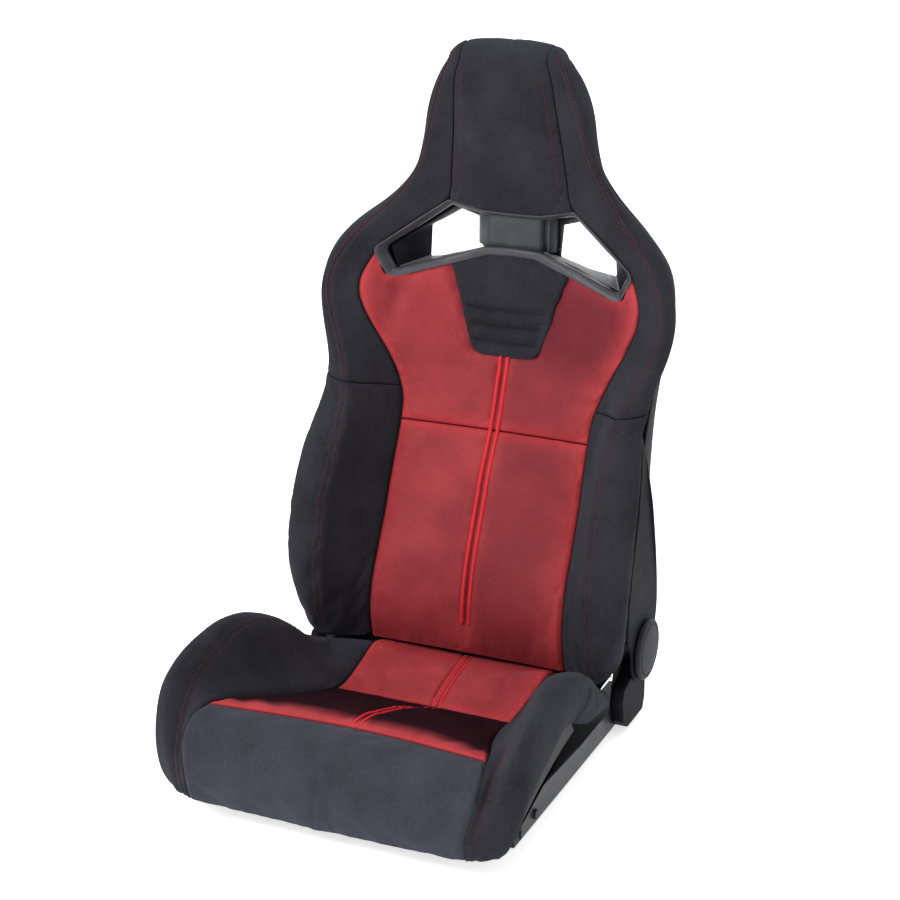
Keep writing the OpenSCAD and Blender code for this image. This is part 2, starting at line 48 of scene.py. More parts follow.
def curve(table, x):
    """Smooth values of a table of rows (position, value, ...) at x."""
    p = np.asarray(table, float)
    x = np.atleast_1d(np.asarray(x, float))
    pos, val = p[:, 0], p[:, 1:]
    a = np.maximum(np.arange(len(pos)) - 1, 0)
    b = np.minimum(np.arange(len(pos)) + 1, len(pos) - 1)
    slope = (val[b] - val[a]) / (pos[b] - pos[a])[:, None]
    i = np.clip(np.searchsorted(pos, x, side="right") - 1, 0, len(pos) - 2)
    h = (pos[i + 1] - pos[i])[:, None]
    t = np.clip((x - pos[i])[:, None] / h, 0, 1)
    return (val[i] * (1 + 2 * t) * (1 - t) ** 2 + val[i + 1] * t * t * (3 - 2 * t)
            + slope[i] * h * t * (1 - t) ** 2 - slope[i + 1] * h * t * t * (1 - t))


def smoothed(table, sigma, step=4.0):
    """The same table, sampled finely and smoothed over sigma mm."""
    p = np.asarray(table, float)
    x = np.arange(p[0, 0], p[-1, 0] + step / 2, step)
    x[-1] = p[-1, 0]
    v = curve(p, x)
    k = int(3 * sigma / step)
    w = np.exp(-0.5 * (np.arange(-k, k + 1) * step / sigma) ** 2)
    w /= w.sum()
    first, last = 2 * v[0] - v[1:k + 1][::-1], 2 * v[-1] - v[-k - 1:-1][::-1]
    padded = np.vstack([first, v, last])
    out = np.stack([np.convolve(padded[:, c], w, "valid") for c in range(v.shape[1])], 1)
    return np.column_stack([x, out])


def spline(ctrl, counts):
    """Catmull-Rom curves through control points (..., K, 3), with counts[k] steps in span k."""
    c = np.asarray(ctrl, float)
    d = np.maximum(np.linalg.norm(np.diff(c, axis=-2), axis=-1), 1e-6) ** 0.5
    t = np.concatenate([np.zeros(d.shape[:-1] + (1,)), np.cumsum(d, -1)], -1)
    k = c.shape[-2]
    m = np.zeros_like(c)
    for i in range(1, k - 1):
        h0, h1 = (t[..., i] - t[..., i - 1])[..., None], (t[..., i + 1] - t[..., i])[..., None]
        m[..., i, :] = ((c[..., i, :] - c[..., i - 1, :]) / h0 * h1
                        + (c[..., i + 1, :] - c[..., i, :]) / h1 * h0) / (h0 + h1)
    m[..., 0, :] = (c[..., 1, :] - c[..., 0, :]) / (t[..., 1] - t[..., 0])[..., None]
    m[..., -1, :] = (c[..., -1, :] - c[..., -2, :]) / (t[..., -1] - t[..., -2])[..., None]
    out = []
    for i in range(k - 1):
        h = (t[..., i + 1] - t[..., i])[..., None, None]
        u = (np.arange(counts[i]) / counts[i])[:, None]
        p0, p1 = c[..., i, :][..., None, :], c[..., i + 1, :][..., None, :]
        m0, m1 = m[..., i, :][..., None, :], m[..., i + 1, :][..., None, :]
        out.append(p0 * (1 + 2 * u) * (1 - u) ** 2 + p1 * u * u * (3 - 2 * u)
                   + m0 * h * u * (1 - u) ** 2 - m1 * h * u * u * (1 - u))
    out.append(c[..., -1:, :])
    return np.concatenate(out, -2)


def arc(grid, axis):
    """Arc length of every point along an axis of the grid."""
    d = np.linalg.norm(np.diff(grid, axis=axis), axis=2)
    pad = [(0, 0), (0, 0)]
    pad[axis] = (1, 0)
    return np.pad(np.cumsum(d, axis), pad)


def lengths(path):
    """Distance along a path at each of its points."""
    return np.concatenate([[0], np.cumsum(np.linalg.norm(np.diff(path, axis=0), axis=1))])


def along(at, s, values):
    """The three columns of values, given at the distances s, read at the distances at."""
    return np.stack([np.interp(at, s, values[:, k]) for k in range(3)], -1)


def evenly(path, step):
    """The path again with points about one step apart."""
    p = np.asarray(path, float)
    s = lengths(p)
    count = max(2, int(round(s[-1] / step)) + 1)
    return along(np.linspace(0, s[-1], count), s, p)


NEAR_EDGE = np.array([[0, 0.6, 1.6, 3.2, 6.0]])


def edged(grid, n):
    """The grid again with n even steps along each row, and fine steps by both ends of the row."""
    s = arc(grid, 1)
    length = s[:, -1:]
    a, b = NEAR_EDGE[:, -1:] + 0 * length, length - NEAR_EDGE[:, -1:]
    middle = a + (b - a) * (np.arange(n) / n)
    at = np.concatenate([NEAR_EDGE[:, :-1] + 0 * length, middle, length - NEAR_EDGE[:, ::-1]], 1)
    return np.stack([along(at[r], s[r], row) for r, row in enumerate(grid)])


def normals(g, hint):
    """Unit normals of a grid, on the side that the hint points to."""
    du, dv = np.gradient(g, axis=1), np.gradient(g, axis=0)
    n = np.cross(du, dv)
    length = np.linalg.norm(n, axis=2, keepdims=True)
    n = n / np.maximum(length, 1e-9)
    score = (n * np.asarray(hint, float)).sum(2)
    return n if (score * length[..., 0]).sum() > 0 else -n


def capped(grid, scales, push):
    """The grid with a rounded cap: rows before the first one that shrink towards the middle of the first."""
    c = grid[0].mean(0)
    rise = np.asarray(push, float)
    cap = np.stack([c + s * (grid[0] - c) + rise * math.sqrt(max(0.0, 1 - s * s)) for s in scales])
    return np.concatenate([cap[::-1], grid])


def flipped(points, side):
    """Points of the right half, or their mirror image when side is -1."""
    return np.asarray(points, float) * np.array([side, 1.0, 1.0])


# ---- meshes ------------------------------------------------------------------

def mesh(name, points, faces, material, uv=None, smooth=True, tones=None):
    data = bpy.data.meshes.new(name)
    data.from_pydata((np.asarray(points, float).reshape(-1, 3) * MM).tolist(), [], [list(f) for f in faces])
    for key, value in (tones or {}).items():
        data.attributes.new(key, "FLOAT", "POINT").data.foreach_set("value", np.asarray(value, float).ravel())
    if uv is not None:
        layer = data.uv_layers.new(name="metric")
        index = np.zeros(len(data.loops), int)
        data.loops.foreach_get("vertex_index", index)
        layer.data.foreach_set("uv", (np.asarray(uv, float).reshape(-1, 2)[index] * MM).ravel())
    bm = bmesh.new()
    bm.from_mesh(data)
    bmesh.ops.remove_doubles(bm, verts=bm.verts, dist=1e-6)
    bmesh.ops.recalc_face_normals(bm, faces=bm.faces)
    bm.to_mesh(data)
    bm.free()
    data.polygons.foreach_set("use_smooth", [smooth] * len(data.polygons))
    obj = bpy.data.objects.new(name, data)
    bpy.context.scene.collection.objects.link(obj)
    data.materials.append(material)
    return obj


def grid_faces(m, n, base=0, flip=False):
    """Quads of a grid of m rows and n columns whose first point has the number base."""
    a = (np.arange(m - 1)[:, None] * n + np.arange(n - 1)[None]).ravel() + base
    f = np.stack([a, a + 1, a + n + 1, a + n], 1)
    return f[:, ::-1] if flip else f


def sheet_faces(m, n):
    """Faces of a closed sheet: the points are an outer m by n grid, then an inner one."""
    q = m * n
    rim = (list(range(n)) + [j * n + n - 1 for j in range(1, m)]
           + [(m - 1) * n + i for i in range(n - 2, -1, -1)] + [j * n for j in range(m - 2, 0, -1)])
    walls = [[a, b, b + q, a + q] for a, b in zip(rim, rim[1:] + rim[:1])]
    return grid_faces(m, n).tolist() + grid_faces(m, n, q, True).tolist() + walls


def ring_faces(rings, n, closed=False):
    """Faces between rings of n points: capped at both ends, or the last ring joined to the first."""
    faces = [[j * n + i, j * n + (i + 1) % n, (j + 1) % rings * n + (i + 1) % n, (j + 1) % rings * n + i]
             for j in range(rings if closed else rings - 1) for i in range(n)]
    return faces if closed else faces + [list(range(n))[::-1], [(rings - 1) * n + i for i in range(n)]]


def attach(obj, body, *nodes):
    """Let the piece ride on a body and stand for CAD nodes."""
    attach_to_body(obj, body)
    if nodes:
        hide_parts(*nodes)


def bevelled(obj, width, degrees):
    """Soften the edges that are sharper than the angle."""
    bev = obj.modifiers.new("edges", "BEVEL")
    bev.width = width
    bev.segments = 2
    bev.limit_method = "ANGLE"
    bev.angle_limit = math.radians(degrees)


SIM_FRAMES = 20
PRESSURE = 4.0


def simulated(grid, hint, pins, cap):
    """The grid after a short cloth simulation, blown outwards from its pinned seams. Moves at most cap mm."""
    m, n, _ = grid.shape
    data = bpy.data.meshes.new("cloth")
    nrm = normals(grid, hint)
    flat = grid.reshape(-1, 3)
    faces = grid_faces(m, n)
    p = flat[faces[:, 1]] - flat[faces[:, 0]]
    q = flat[faces[:, 3]] - flat[faces[:, 0]]
    if (np.cross(p, q) * nrm.reshape(-1, 3)[faces[:, 0]]).sum() < 0:
        faces = faces[:, ::-1]
    data.from_pydata((flat * MM).tolist(), [], faces.tolist())
    obj = bpy.data.objects.new("cloth", data)
    bpy.context.scene.collection.objects.link(obj)
    group = obj.vertex_groups.new(name="pin")
    group.add(np.nonzero(np.isclose(pins.ravel(), 1.0))[0].tolist(), 1.0, "REPLACE")
    mod = obj.modifiers.new("cloth", "CLOTH")
    s = mod.settings
    s.quality = 4
    s.mass = 0.3
    s.tension_stiffness = s.compression_stiffness = 12
    s.shear_stiffness = 5
    s.bending_stiffness = 0.6
    s.tension_damping = s.compression_damping = s.shear_damping = 8
    s.vertex_group_mass = "pin"
    s.use_pressure = True
    s.uniform_pressure_force = PRESSURE
    s.shrink_min = -0.015
    s.effector_weights.gravity = 0
    mod.collision_settings.use_collision = False
    mod.point_cache.frame_start = 1
    mod.point_cache.frame_end = SIM_FRAMES
    scene = bpy.context.scene
    for f in range(1, SIM_FRAMES + 1):
        scene.frame_set(f)
    dg = bpy.context.evaluated_depsgraph_get()
    moved = obj.evaluated_get(dg).to_mesh()
    co = np.zeros(len(moved.vertices) * 3)
    moved.vertices.foreach_get("co", co)
    bpy.data.objects.remove(obj)
    bpy.data.meshes.remove(data)
    scene.frame_set(1)
    d = co.reshape(m, n, 3) / MM - grid
    out = cap * np.tanh(np.nan_to_num((d * nrm).sum(2)) / cap)
    return grid + nrm * out[..., None]


def pillow(grid, hint, pins, cap):
    """Stand-in for the simulation while trying things out: a smooth swell away from the pins."""
    w = 1 - (pins > 0).astype(float)
    for _ in range(60):
        p = np.pad(w, 1, mode="edge")
        w = (p[:-2, 1:-1] + p[2:, 1:-1] + p[1:-1, :-2] + p[1:-1, 2:]) / 4
        w[pins > 0] = 0
    return grid + normals(grid, hint) * (cap * 0.7 * w)[..., None]


def edge_distance(g, sides):
    """Distance of every point from the nearest of the listed sides: l, r, b, t."""
    su, sv = arc(g, 1), arc(g, 0)
    d = [np.full(g.shape[:2], 1e6)]
    if "l" in sides:
        d.append(su)
    if "r" in sides:
        d.append(su[:, -1:] - su)
    if "b" in sides:
        d.append(sv)
    if "t" in sides:
        d.append(sv[-1:] - sv)
    return np.minimum.reduce(d)


def turned(nrm, cap):
    """Normals of the rows of a rounded cap, turned steadily towards the cap's own direction."""
    rows, way = cap
    way = np.asarray(way, float) / np.linalg.norm(way)
    k = abs(rows)
    out = nrm.copy()
    for i in range(k):
        w = ((i + 1) / k) ** 0.8
        at, base = (-k + i, -k - 1) if rows > 0 else (k - 1 - i, k)
        v = (1 - w) * nrm[base] + w * way
        out[at] = v / np.linalg.norm(v, axis=1, keepdims=True)
    return out


def upholster(name, grid, hint, material, body, nodes, roll="lrbt", depth=3.2, width=6.0, thick=9.0, swell=3.0,
              pins=None, grooves=None, fill=0.7, extra=None, joint="", cap=None, soften=None, flare=0.0,
              tones=None):
    """A sewn panel: its outer face with rolled-in seam edges, swollen by cloth simulation, closed at the back.
    Returns the finished outer grid."""
    m, n, _ = grid.shape
    held = np.zeros((m, n))
    near = edge_distance(grid, "lrbt")
    held[near < width * 0.6] = 1
    if pins is not None:
        held = np.maximum(held, pins)
    if swell > 0:
        grid = (simulated if SIM else pillow)(grid, hint, held, swell)
    nrm = normals(grid, hint)
    if cap is not None:
        nrm = turned(nrm, cap)
    d = np.clip(edge_distance(grid, roll) / width, 0, 1)
    dip = depth * (1 - np.sqrt(1 - (1 - d) ** 2)) * (1 if soften is None else soften)
    if joint:
        d = np.clip(edge_distance(grid, joint) / 3.0, 0, 1)
        dip = np.maximum(dip, 0.45 * (1 - np.sqrt(1 - (1 - d) ** 2)))
    if grooves is not None:
        dip = dip + grooves
    outer = grid - nrm * dip[..., None]
    if extra is not None:
        outer = outer + nrm * extra[..., None]
    inner = grid - nrm * (thick + depth)
    if flare:
        inner[..., 0] *= 1 + flare / np.maximum(np.abs(grid[..., 0]).max(1)[:, None], 1)
    across, down = arc(grid, 1), arc(grid, 0)
    mid = n // 2
    uv = np.stack([across - across[:, mid:mid + 1], np.broadcast_to(down[:, mid:mid + 1], across.shape)], 2)
    # Painted light on the red panels: a painted highlight just inside the seams, a painted dark line in each seam's
    # crease, and the back and walls painted black as shade
    if tones is not None:
        from_seam = edge_distance(grid, roll)
        tones = {"glow": np.exp(-from_seam / 8.0), **tones}
        tones["shade"] = np.maximum(tones["shade"], 0.85 * np.exp(-(from_seam / 1.3) ** 2))
        tones = {key: np.stack([v, np.ones(v.shape) if key == "shade" else v]) for key, v in tones.items()}
    obj = mesh(name, np.stack([outer, inner]), sheet_faces(m, n), material, np.stack([uv, uv]), tones=tones)
    sub = obj.modifiers.new("fine", "SUBSURF")
    sub.levels = sub.render_levels = 1
    sub.use_limit_surface = False
    attach(obj, body, *nodes)
    return outer


def tube_mesh(path, radius, sides=8, up=(1.0, 0, 0), taper=0):
    """Vertices and faces of a round cord along a path, thinner over taper points by its ends."""
    p = np.asarray(path, float)
    t = np.gradient(p, axis=0)
    t /= np.maximum(np.linalg.norm(t, axis=1, keepdims=True), 1e-9)
    side = np.cross(t, np.broadcast_to(np.asarray(up, float), p.shape))
    side /= np.maximum(np.linalg.norm(side, axis=1, keepdims=True), 1e-9)
    other = np.cross(side, t)
    r = np.full(len(p), float(radius))
    if taper:
        k = np.minimum(np.arange(len(p)), np.arange(len(p))[::-1])
        r *= np.clip((k + 0.15) / taper, 0.1, 1) ** 0.5
    a = np.arange(sides) * 2 * math.pi / sides
    ring = side[:, None] * np.cos(a)[None, :, None] + other[:, None] * np.sin(a)[None, :, None]
    return (p[:, None] + ring * r[:, None, None]).reshape(-1, 3), ring_faces(len(p), sides)


def joined(name, parts, material, body, *nodes):
    """One piece made of several closed parts."""
    verts, faces, base = [], [], 0
    for v, f in parts:
        verts.append(v)
        faces += [[i + base for i in face] for face in f]
        base += len(v)
    obj = mesh(name, np.concatenate(verts), faces, material)
    attach(obj, body, *nodes)
    return obj


def stitch_parts(path, nrm, pitch=5.0, length=4.3, radius=0.45, lift=0.05):
    """One small thread loop after another along a seam."""
    p = np.asarray(path, float)
    s = lengths(p)
    parts = []
    bow = np.array([-0.9, 0.1, 0.35, 0.1, -0.9]) * radius
    for k in range(int(s[-1] / pitch)):
        at = k * pitch + pitch / 2 + np.linspace(-length / 2, length / 2, 5)
        w = along(k * pitch + pitch / 2, s, nrm)
        w /= max(np.linalg.norm(w), 1e-9)
        parts.append(tube_mesh(along(at, s, p) + w * (bow + lift)[:, None], radius, 5, up=w, taper=1.5))
    return parts


# ---- materials ------------------------------------------------------------------------------

def fill_in(t, node, values):
    """Link or set a node's inputs."""
    for name, value in values.items():
        if isinstance(value, bpy.types.NodeSocket):
            t.links.new(value, node.inputs[name])
        else:
            node.inputs[name].default_value = value
    return node


def new_node(t, kind, values):
    return fill_in(t, t.nodes.new(kind), values)


def new_material(name):
    """A material, its node tree, its shader, and the place of each point in the piece's own space."""
    m = bpy.data.materials.new(name)
    m.use_nodes = True
    t = m.node_tree
    return m, t, t.nodes["Principled BSDF"], t.nodes.new("ShaderNodeTexCoord").outputs["Object"]


def noise(t, vec, scale, detail, rough, stretch=None):
    if stretch is not None:
        vec = new_node(t, "ShaderNodeMapping", {"Scale": stretch, "Vector": vec}).outputs["Vector"]
    values = {"Scale": scale, "Detail": detail, "Roughness": rough, "Vector": vec}
    return new_node(t, "ShaderNodeTexNoise", values).outputs["Fac"]


def mix_colour(t, fac, a, b):
    m = t.nodes.new("ShaderNodeMix")
    m.data_type = "RGBA"
    a, b = ((*v, 1) if isinstance(v, tuple) else v for v in (a, b))
    return fill_in(t, m, {"Factor": fac, "A": a, "B": b}).outputs["Result"]


def ramp(t, fac, low, high, a, b):
    """Value (or colour) that goes from a to b as fac goes from low to high."""
    values = {"From Min": low, "From Max": high, "Value": fac}
    if isinstance(a, tuple):
        return mix_colour(t, new_node(t, "ShaderNodeMapRange", values).outputs["Result"], a, b)
    return new_node(t, "ShaderNodeMapRange", {**values, "To Min": a, "To Max": b}).outputs["Result"]


def combine(t, operation, a, b):
    m = t.nodes.new("ShaderNodeMath")
    m.operation = operation
    return fill_in(t, m, {0: a, 1: b}).outputs[0]


def scaled(t, value, factor):
    return value if factor == 1 else combine(t, "MULTIPLY", value, factor)


def weighted(t, *terms):
    """Sum of values, each times its own factor."""
    first = scaled(t, *terms[0])
    return combine(t, "ADD", first, weighted(t, *terms[1:])) if len(terms) > 1 else first


def tone(t, name):
    """A tone that the mesh carries on its points, such as the painted shade in the hollows."""
    n = t.nodes.new("ShaderNodeAttribute")
    n.attribute_name = name
    return n.outputs["Fac"]


def bump(t, shader, height, strength, distance):
    b = new_node(t, "ShaderNodeBump", {"Strength": strength, "Distance": distance, "Height": height})
    fill_in(t, shader, {"Normal": b.outputs["Normal"]})


def suede(name, dark, light, sheen=0.07):
    """Short nap with soft clouds of shade and no gloss."""
    m, t, b, vec = new_material(name)
    cloud = noise(t, vec, 14, 3, 0.55)
    nap = noise(t, vec, 260, 4, 0.65)
    fine = noise(t, vec, 1500, 2, 0.6)
    shade = weighted(t, (cloud, 0.45), (nap, 0.3), (fine, 0.25))
    fill_in(t, b, {"Base Color": ramp(t, shade, 0.36, 0.64, dark, light),
                   "Roughness": ramp(t, nap, 0.3, 0.7, 0.86, 0.98), "Specular IOR Level": 0.0,
                   "Sheen Weight": sheen, "Sheen Roughness": 0.55, "Sheen Tint": (0.62, 0.66, 0.78, 1)})
    bump(t, b, weighted(t, (nap, 1), (fine, 0.8)), 0.35, 0.0006)
    return m


def red_cloth():
    """Satin weave: fine warp and weft, faint slubs, a painted highlight along the seams and painted shade in the
    hollows.
    """
    m, t, b, vec = new_material("red_cloth")
    uv = t.nodes.new("ShaderNodeUVMap")
    uv.uv_map = "metric"
    metres = uv.outputs["UV"]
    s = new_node(t, "ShaderNodeSeparateXYZ", {"Vector": metres})
    waves = 2 * math.pi / THREAD_PITCH
    warp, weft = (combine(t, "SINE", combine(t, "MULTIPLY", s.outputs[k], waves), 0.0) for k in "XY")
    weave = combine(t, "MULTIPLY", warp, weft)
    streak = noise(t, metres, 1.0, 3, 0.6, (1500, 240, 1))
    slub = noise(t, metres, 1.0, 2, 0.5, (420, 110, 1))
    cloud = noise(t, vec, 16, 3, 0.55)
    shade = weighted(t, (streak, 0.42), (slub, 0.16), (cloud, 0.42))
    col = ramp(t, shade, 0.34, 0.66, (0.2, 0.021, 0.026), (0.41, 0.05, 0.057))
    col = mix_colour(t, ramp(t, weave, -1, 1, 0.0, 0.2), col, (0.13, 0.011, 0.017))
    # Painted shade: dark red in the hollows and on the side turned away from the light
    col = mix_colour(t, scaled(t, tone(t, "dusk"), 0.78), col, (0.085, 0.009, 0.016))
    # Painted highlight: brighter red just inside the seams
    col = mix_colour(t, scaled(t, tone(t, "glow"), 0.6), col, (0.56, 0.04, 0.045))
    # Painted shade: nearly black where the mesh marks shade, such as the thigh crown and the seam creases
    dark = combine(t, "MULTIPLY", tone(t, "shade"), ramp(t, cloud, 0.3, 0.7, 0.96, 1.0))
    col = mix_colour(t, scaled(t, dark, 0.99), col, (0.011, 0.006, 0.009))
    lit = combine(t, "SUBTRACT", 1.0, combine(t, "MAXIMUM", tone(t, "shade"), tone(t, "matt")))
    fill_in(t, b, {"Base Color": col, "Roughness": ramp(t, streak, 0.3, 0.7, 0.46, 0.62),
                   "Specular IOR Level": scaled(t, lit, 0.1), "Sheen Weight": scaled(t, lit, 0.08),
                   "Sheen Roughness": 0.4, "Sheen Tint": (1.0, 0.45, 0.45, 1)})
    bump(t, b, weighted(t, (weave, 0.5), (streak, 1)), 0.35, 0.0003)
    return m


def plastic(name, dark, light, rough, grain=900.0, depth=0.00015, shine=0.3):
    """Grained plastic. Convex edges are a little lighter: partly rub wear, partly painted highlight."""
    m, t, b, vec = new_material(name)
    cells = new_node(t, "ShaderNodeTexVoronoi", {"Scale": grain, "Vector": vec})
    cloud = noise(t, vec, 30, 3, 0.6)
    fine = noise(t, vec, 700, 2, 0.6)
    col = ramp(t, weighted(t, (cloud, 0.6), (fine, 0.4)), 0.38, 0.62, dark, light)
    # Lighter convex edges: partly rub wear, partly painted highlight
    edge = ramp(t, t.nodes.new("ShaderNodeNewGeometry").outputs["Pointiness"], 0.53, 0.6, 0.0, 0.5)
    col = mix_colour(t, edge, col, tuple(min(1.0, c * 2.2) for c in light))
    fill_in(t, b, {"Base Color": col, "Roughness": ramp(t, cloud, 0.3, 0.7, rough - 0.06, rough + 0.08),
                   "Specular IOR Level": shine})
    bump(t, b, weighted(t, (cells.outputs["Distance"], 1), (fine, 0.5)), 0.25, depth)
    return m


def metal(name, dark, light, metallic, rough):
    """Paint over steel, or bare plating when metallic is 1."""
    m, t, b, vec = new_material(name)
    cloud = noise(t, vec, 45, 4, 0.6)
    fine = noise(t, vec, 1100, 2, 0.6)
    shade = weighted(t, (cloud, 0.5), (fine, 0.5))
    fill_in(t, b, {"Base Color": ramp(t, shade, 0.38, 0.62, dark, light), "Metallic": metallic,
                   "Roughness": ramp(t, cloud, 0.3, 0.7, rough - 0.08, rough + 0.1),
                   "Specular IOR Level": 0.15})
    bump(t, b, weighted(t, (cloud, 1), (fine, 1)), 0.2, 0.0002)
    return m


def thread(name, dark, light):
    m, t, b, vec = new_material(name)
    twist = noise(t, vec, 2200, 2, 0.6)
    fill_in(t, b, {"Base Color": ramp(t, twist, 0.35, 0.65, dark, light), "Roughness": 0.55,
                   "Specular IOR Level": 0.15})
    bump(t, b, twist, 0.5, 0.0002)
    return m


THREAD_PITCH = 0.0012  # metres between the threads of the weave
BLACK = suede("black_suede", (0.0145, 0.0142, 0.0175), (0.031, 0.0305, 0.038))
# Lighter copy of the black suede for the front roll: painted light where it faces the lamps
NOSE = suede("nose_suede", (0.025, 0.0255, 0.033), (0.046, 0.047, 0.06), 0.11)
RED = red_cloth()
TRIM = plastic("trim_plastic", (0.006, 0.0062, 0.0078), (0.012, 0.0123, 0.015), 0.62, shine=0.05)
BEZEL = plastic("bezel_plastic", (0.03, 0.03, 0.037), (0.05, 0.05, 0.06), 0.42, shine=0.35)
SHELL = plastic("shell_plastic", (0.007, 0.007, 0.0088), (0.014, 0.014, 0.017), 0.6, 420.0, 0.0004, 0.08)
WHEEL = plastic("wheel_plastic", (0.013, 0.0133, 0.0155), (0.024, 0.0245, 0.029), 0.55, shine=0.1)
POST = plastic("post_plastic", (0.026, 0.027, 0.031), (0.046, 0.048, 0.056), 0.45)
# Near-black matt cloth for the seam gaps and the bite slot: painted shade
PAINTED_SHADE_CLOTH = plastic("seam_cloth", (0.007, 0.007, 0.008), (0.012, 0.012, 0.014), 0.9, shine=0.0)
# Lighter grey for the liners' upward faces: painted light from above
LINER_TOP_PAINTED_LIGHT = plastic("ledge_plastic", (0.13, 0.132, 0.142), (0.2, 0.203, 0.216), 0.5)
FLAP = plastic("valance_plastic", (0.03, 0.03, 0.034), (0.05, 0.05, 0.056), 0.6, shine=0.1)
PAINT = metal("frame_paint", (0.02, 0.02, 0.023), (0.045, 0.046, 0.052), 0.0, 0.38)
RAIL = metal("rail_paint", (0.014, 0.0145, 0.017), (0.03, 0.031, 0.035), 0.0, 0.45)
ZINC = metal("zinc_steel", (0.42, 0.42, 0.41), (0.68, 0.68, 0.67), 1.0, 0.34)
THREAD = thread("dark_red_thread", (0.09, 0.009, 0.014), (0.2, 0.024, 0.036))
PIPING = thread("red_piping", (0.42, 0.013, 0.02), (0.7, 0.035, 0.045))


# ---- measures of the upholstery -----------------------------------------------------

# Height, then x and y: seam between the middle and side panels
SEAM = smoothed([
    (72, 154, 155), (84, 154, 151), (121, 153, 143), (153, 152, 144), (182, 151, 151), (209, 150, 162),
    (235, 150, 175), (261, 150, 189), (288, 150, 201), (314, 150, 212), (341, 149, 223), (368, 148, 235),
    (395, 148, 246), (423, 149, 256), (451, 157, 262), (483, 171, 261), (515, 188, 256), (547, 205, 249),
    (578, 216, 248), (602, 215, 254), (626, 204, 266), (645, 192, 275), (680, 147, 292), (706, 109, 304),
    (722, 94, 303), (758, 89, 299), (788, 86, 295), (819, 82, 290), (849, 79, 283), (879, 76, 277),
    (908, 72, 274), (925, 66, 274)], 7)
# Stitched ridge of the side panels
RIDGE = smoothed([
    (72, 205, 116), (92, 206, 110), (120, 207, 98), (150, 208, 90), (180, 208, 86), (210, 208, 85), (246, 207, 89),
    (279, 207, 98), (310, 206, 109), (340, 205, 123), (369, 204, 139), (398, 204, 156), (427, 205, 174),
    (456, 210, 191), (484, 219, 206), (516, 234, 218), (549, 246, 226), (583, 252, 229), (615, 248, 236),
    (646, 234, 247), (676, 210, 263), (706, 177.5, 282), (741, 151, 290), (773, 132, 288), (802, 120, 285),
    (840, 109, 281), (875, 99.5, 278.5), (905, 89, 278), (925, 82, 279)], 9)
# Widest line of the side panels
WIDE = smoothed([
    (72, 232, 134), (92, 238, 128), (120, 247, 122), (150, 255, 115), (180, 261, 109), (210, 264.5, 107),
    (250, 266.5, 112), (310, 265.5, 129), (370, 260.5, 155), (400, 255.5, 173), (434, 249, 194), (457, 248, 208),
    (482, 250, 220), (508, 257, 228), (534, 265, 235), (560, 270.5, 241), (586, 272, 247),
    (613, 268, 254), (638, 261, 262),
    (662, 247, 274), (686, 224, 289), (709, 193, 303), (736, 164, 307), (764, 144, 308), (791, 135, 308),
    (818, 129, 309), (846, 125, 310), (873, 117.5, 311.5), (899, 106, 311), (912, 98, 309.5), (925, 88, 306.5)], 7)
# Rear edge of the side panels, depth only
REAR = smoothed([(72, 146), (150, 147), (250, 150), (310, 162), (370, 184), (430, 214), (466, 238), (510, 262),
                 (550, 280), (585, 292), (620, 304), (645, 312), (680, 326), (708, 336), (732, 342), (765, 346),
                 (800, 346), (850, 342), (900, 336), (925, 327)], 9)
# Front edge of the hard side cover
COVER_FRONT = [(72, 160), (112, 160), (140, 152), (156, 142), (168, 134), (190, 136), (250, 146), (322, 164),
               (380, 186), (440, 194), (466, 250)]
# Centre line of the backrest's front: height, depth
CENTRE = smoothed([(72, 157), (100, 152), (126, 150), (155, 151), (176, 155), (220, 167), (261, 185), (306, 205),
                   (338, 220), (371, 240), (395, 252), (419, 263), (454, 276), (490, 289), (525, 296), (560, 302),
                   (600, 309), (645, 317)], 8)
CROSS_SEAM = 394.0
# Distance between the two rows of thread on each side pad
BACK_GAP = 8.5
WING_GAP = 6.5
SEAT_GAP = 9.0


def lerp(a, b, t):
    return a + (b - a) * t


def mid_width(z):
    return curve(SEAM, z)[:, 0]


def mid_depth(z, share):
    """Depth of the middle panels where share is the part of the half width, -1 to 1."""
    return lerp(curve(CENTRE, z)[:, 0], curve(SEAM, z)[:, 1], np.abs(share) ** 2.3)


def cover_lean(z):
    """How far the side covers lean inwards at height z."""
    return 9.0 * np.clip((np.asarray(z, float) - 320) / 118, 0, 1) ** 1.3


def side_ctrl(z):
    s, r, w = curve(SEAM, z), curve(RIDGE, z), curve(WIDE, z)
    by = curve(REAR, z)[:, 0]
    front = np.interp(z, [p[0] for p in COVER_FRONT], [p[1] for p in COVER_FRONT])
    lean = cover_lean(z)
    bx = np.where(z < 446, np.minimum(w[:, 0] - 8, 248.5 - lean), w[:, 0] - 0.44 * (by - w[:, 1]) - 2)
    tuck = np.where(z < 446, np.minimum(w[:, 0] - 2, 249.5 - lean), w[:, 0] - 0.22 * (by - w[:, 1]) + 0.5)
    ty = np.where(z < 446, np.minimum(lerp(w[:, 1], by, 0.55), front - 1.5), lerp(w[:, 1], by, 0.5))
    ty = np.maximum(ty, w[:, 1] + 8)
    by = np.maximum(by, ty + 7)
    rows = [(s[:, 0], s[:, 1]),
            (lerp(s[:, 0], r[:, 0], 0.42), lerp(s[:, 1], r[:, 1], 0.36)),
            (lerp(s[:, 0], r[:, 0], 0.80), lerp(s[:, 1], r[:, 1], 0.79)),
            (r[:, 0], r[:, 1]),
            (lerp(r[:, 0], w[:, 0], 0.5), r[:, 1] - 2.5 + 4.5 * np.clip((z - 690) / 60, 0, 1)),
            (lerp(r[:, 0], w[:, 0], 0.86), lerp(r[:, 1], w[:, 1], 0.38)),
            (w[:, 0], w[:, 1]),
            (tuck, ty), (bx, by)]
    return np.stack([np.stack([x, y, z], 1) for x, y in rows], 1)


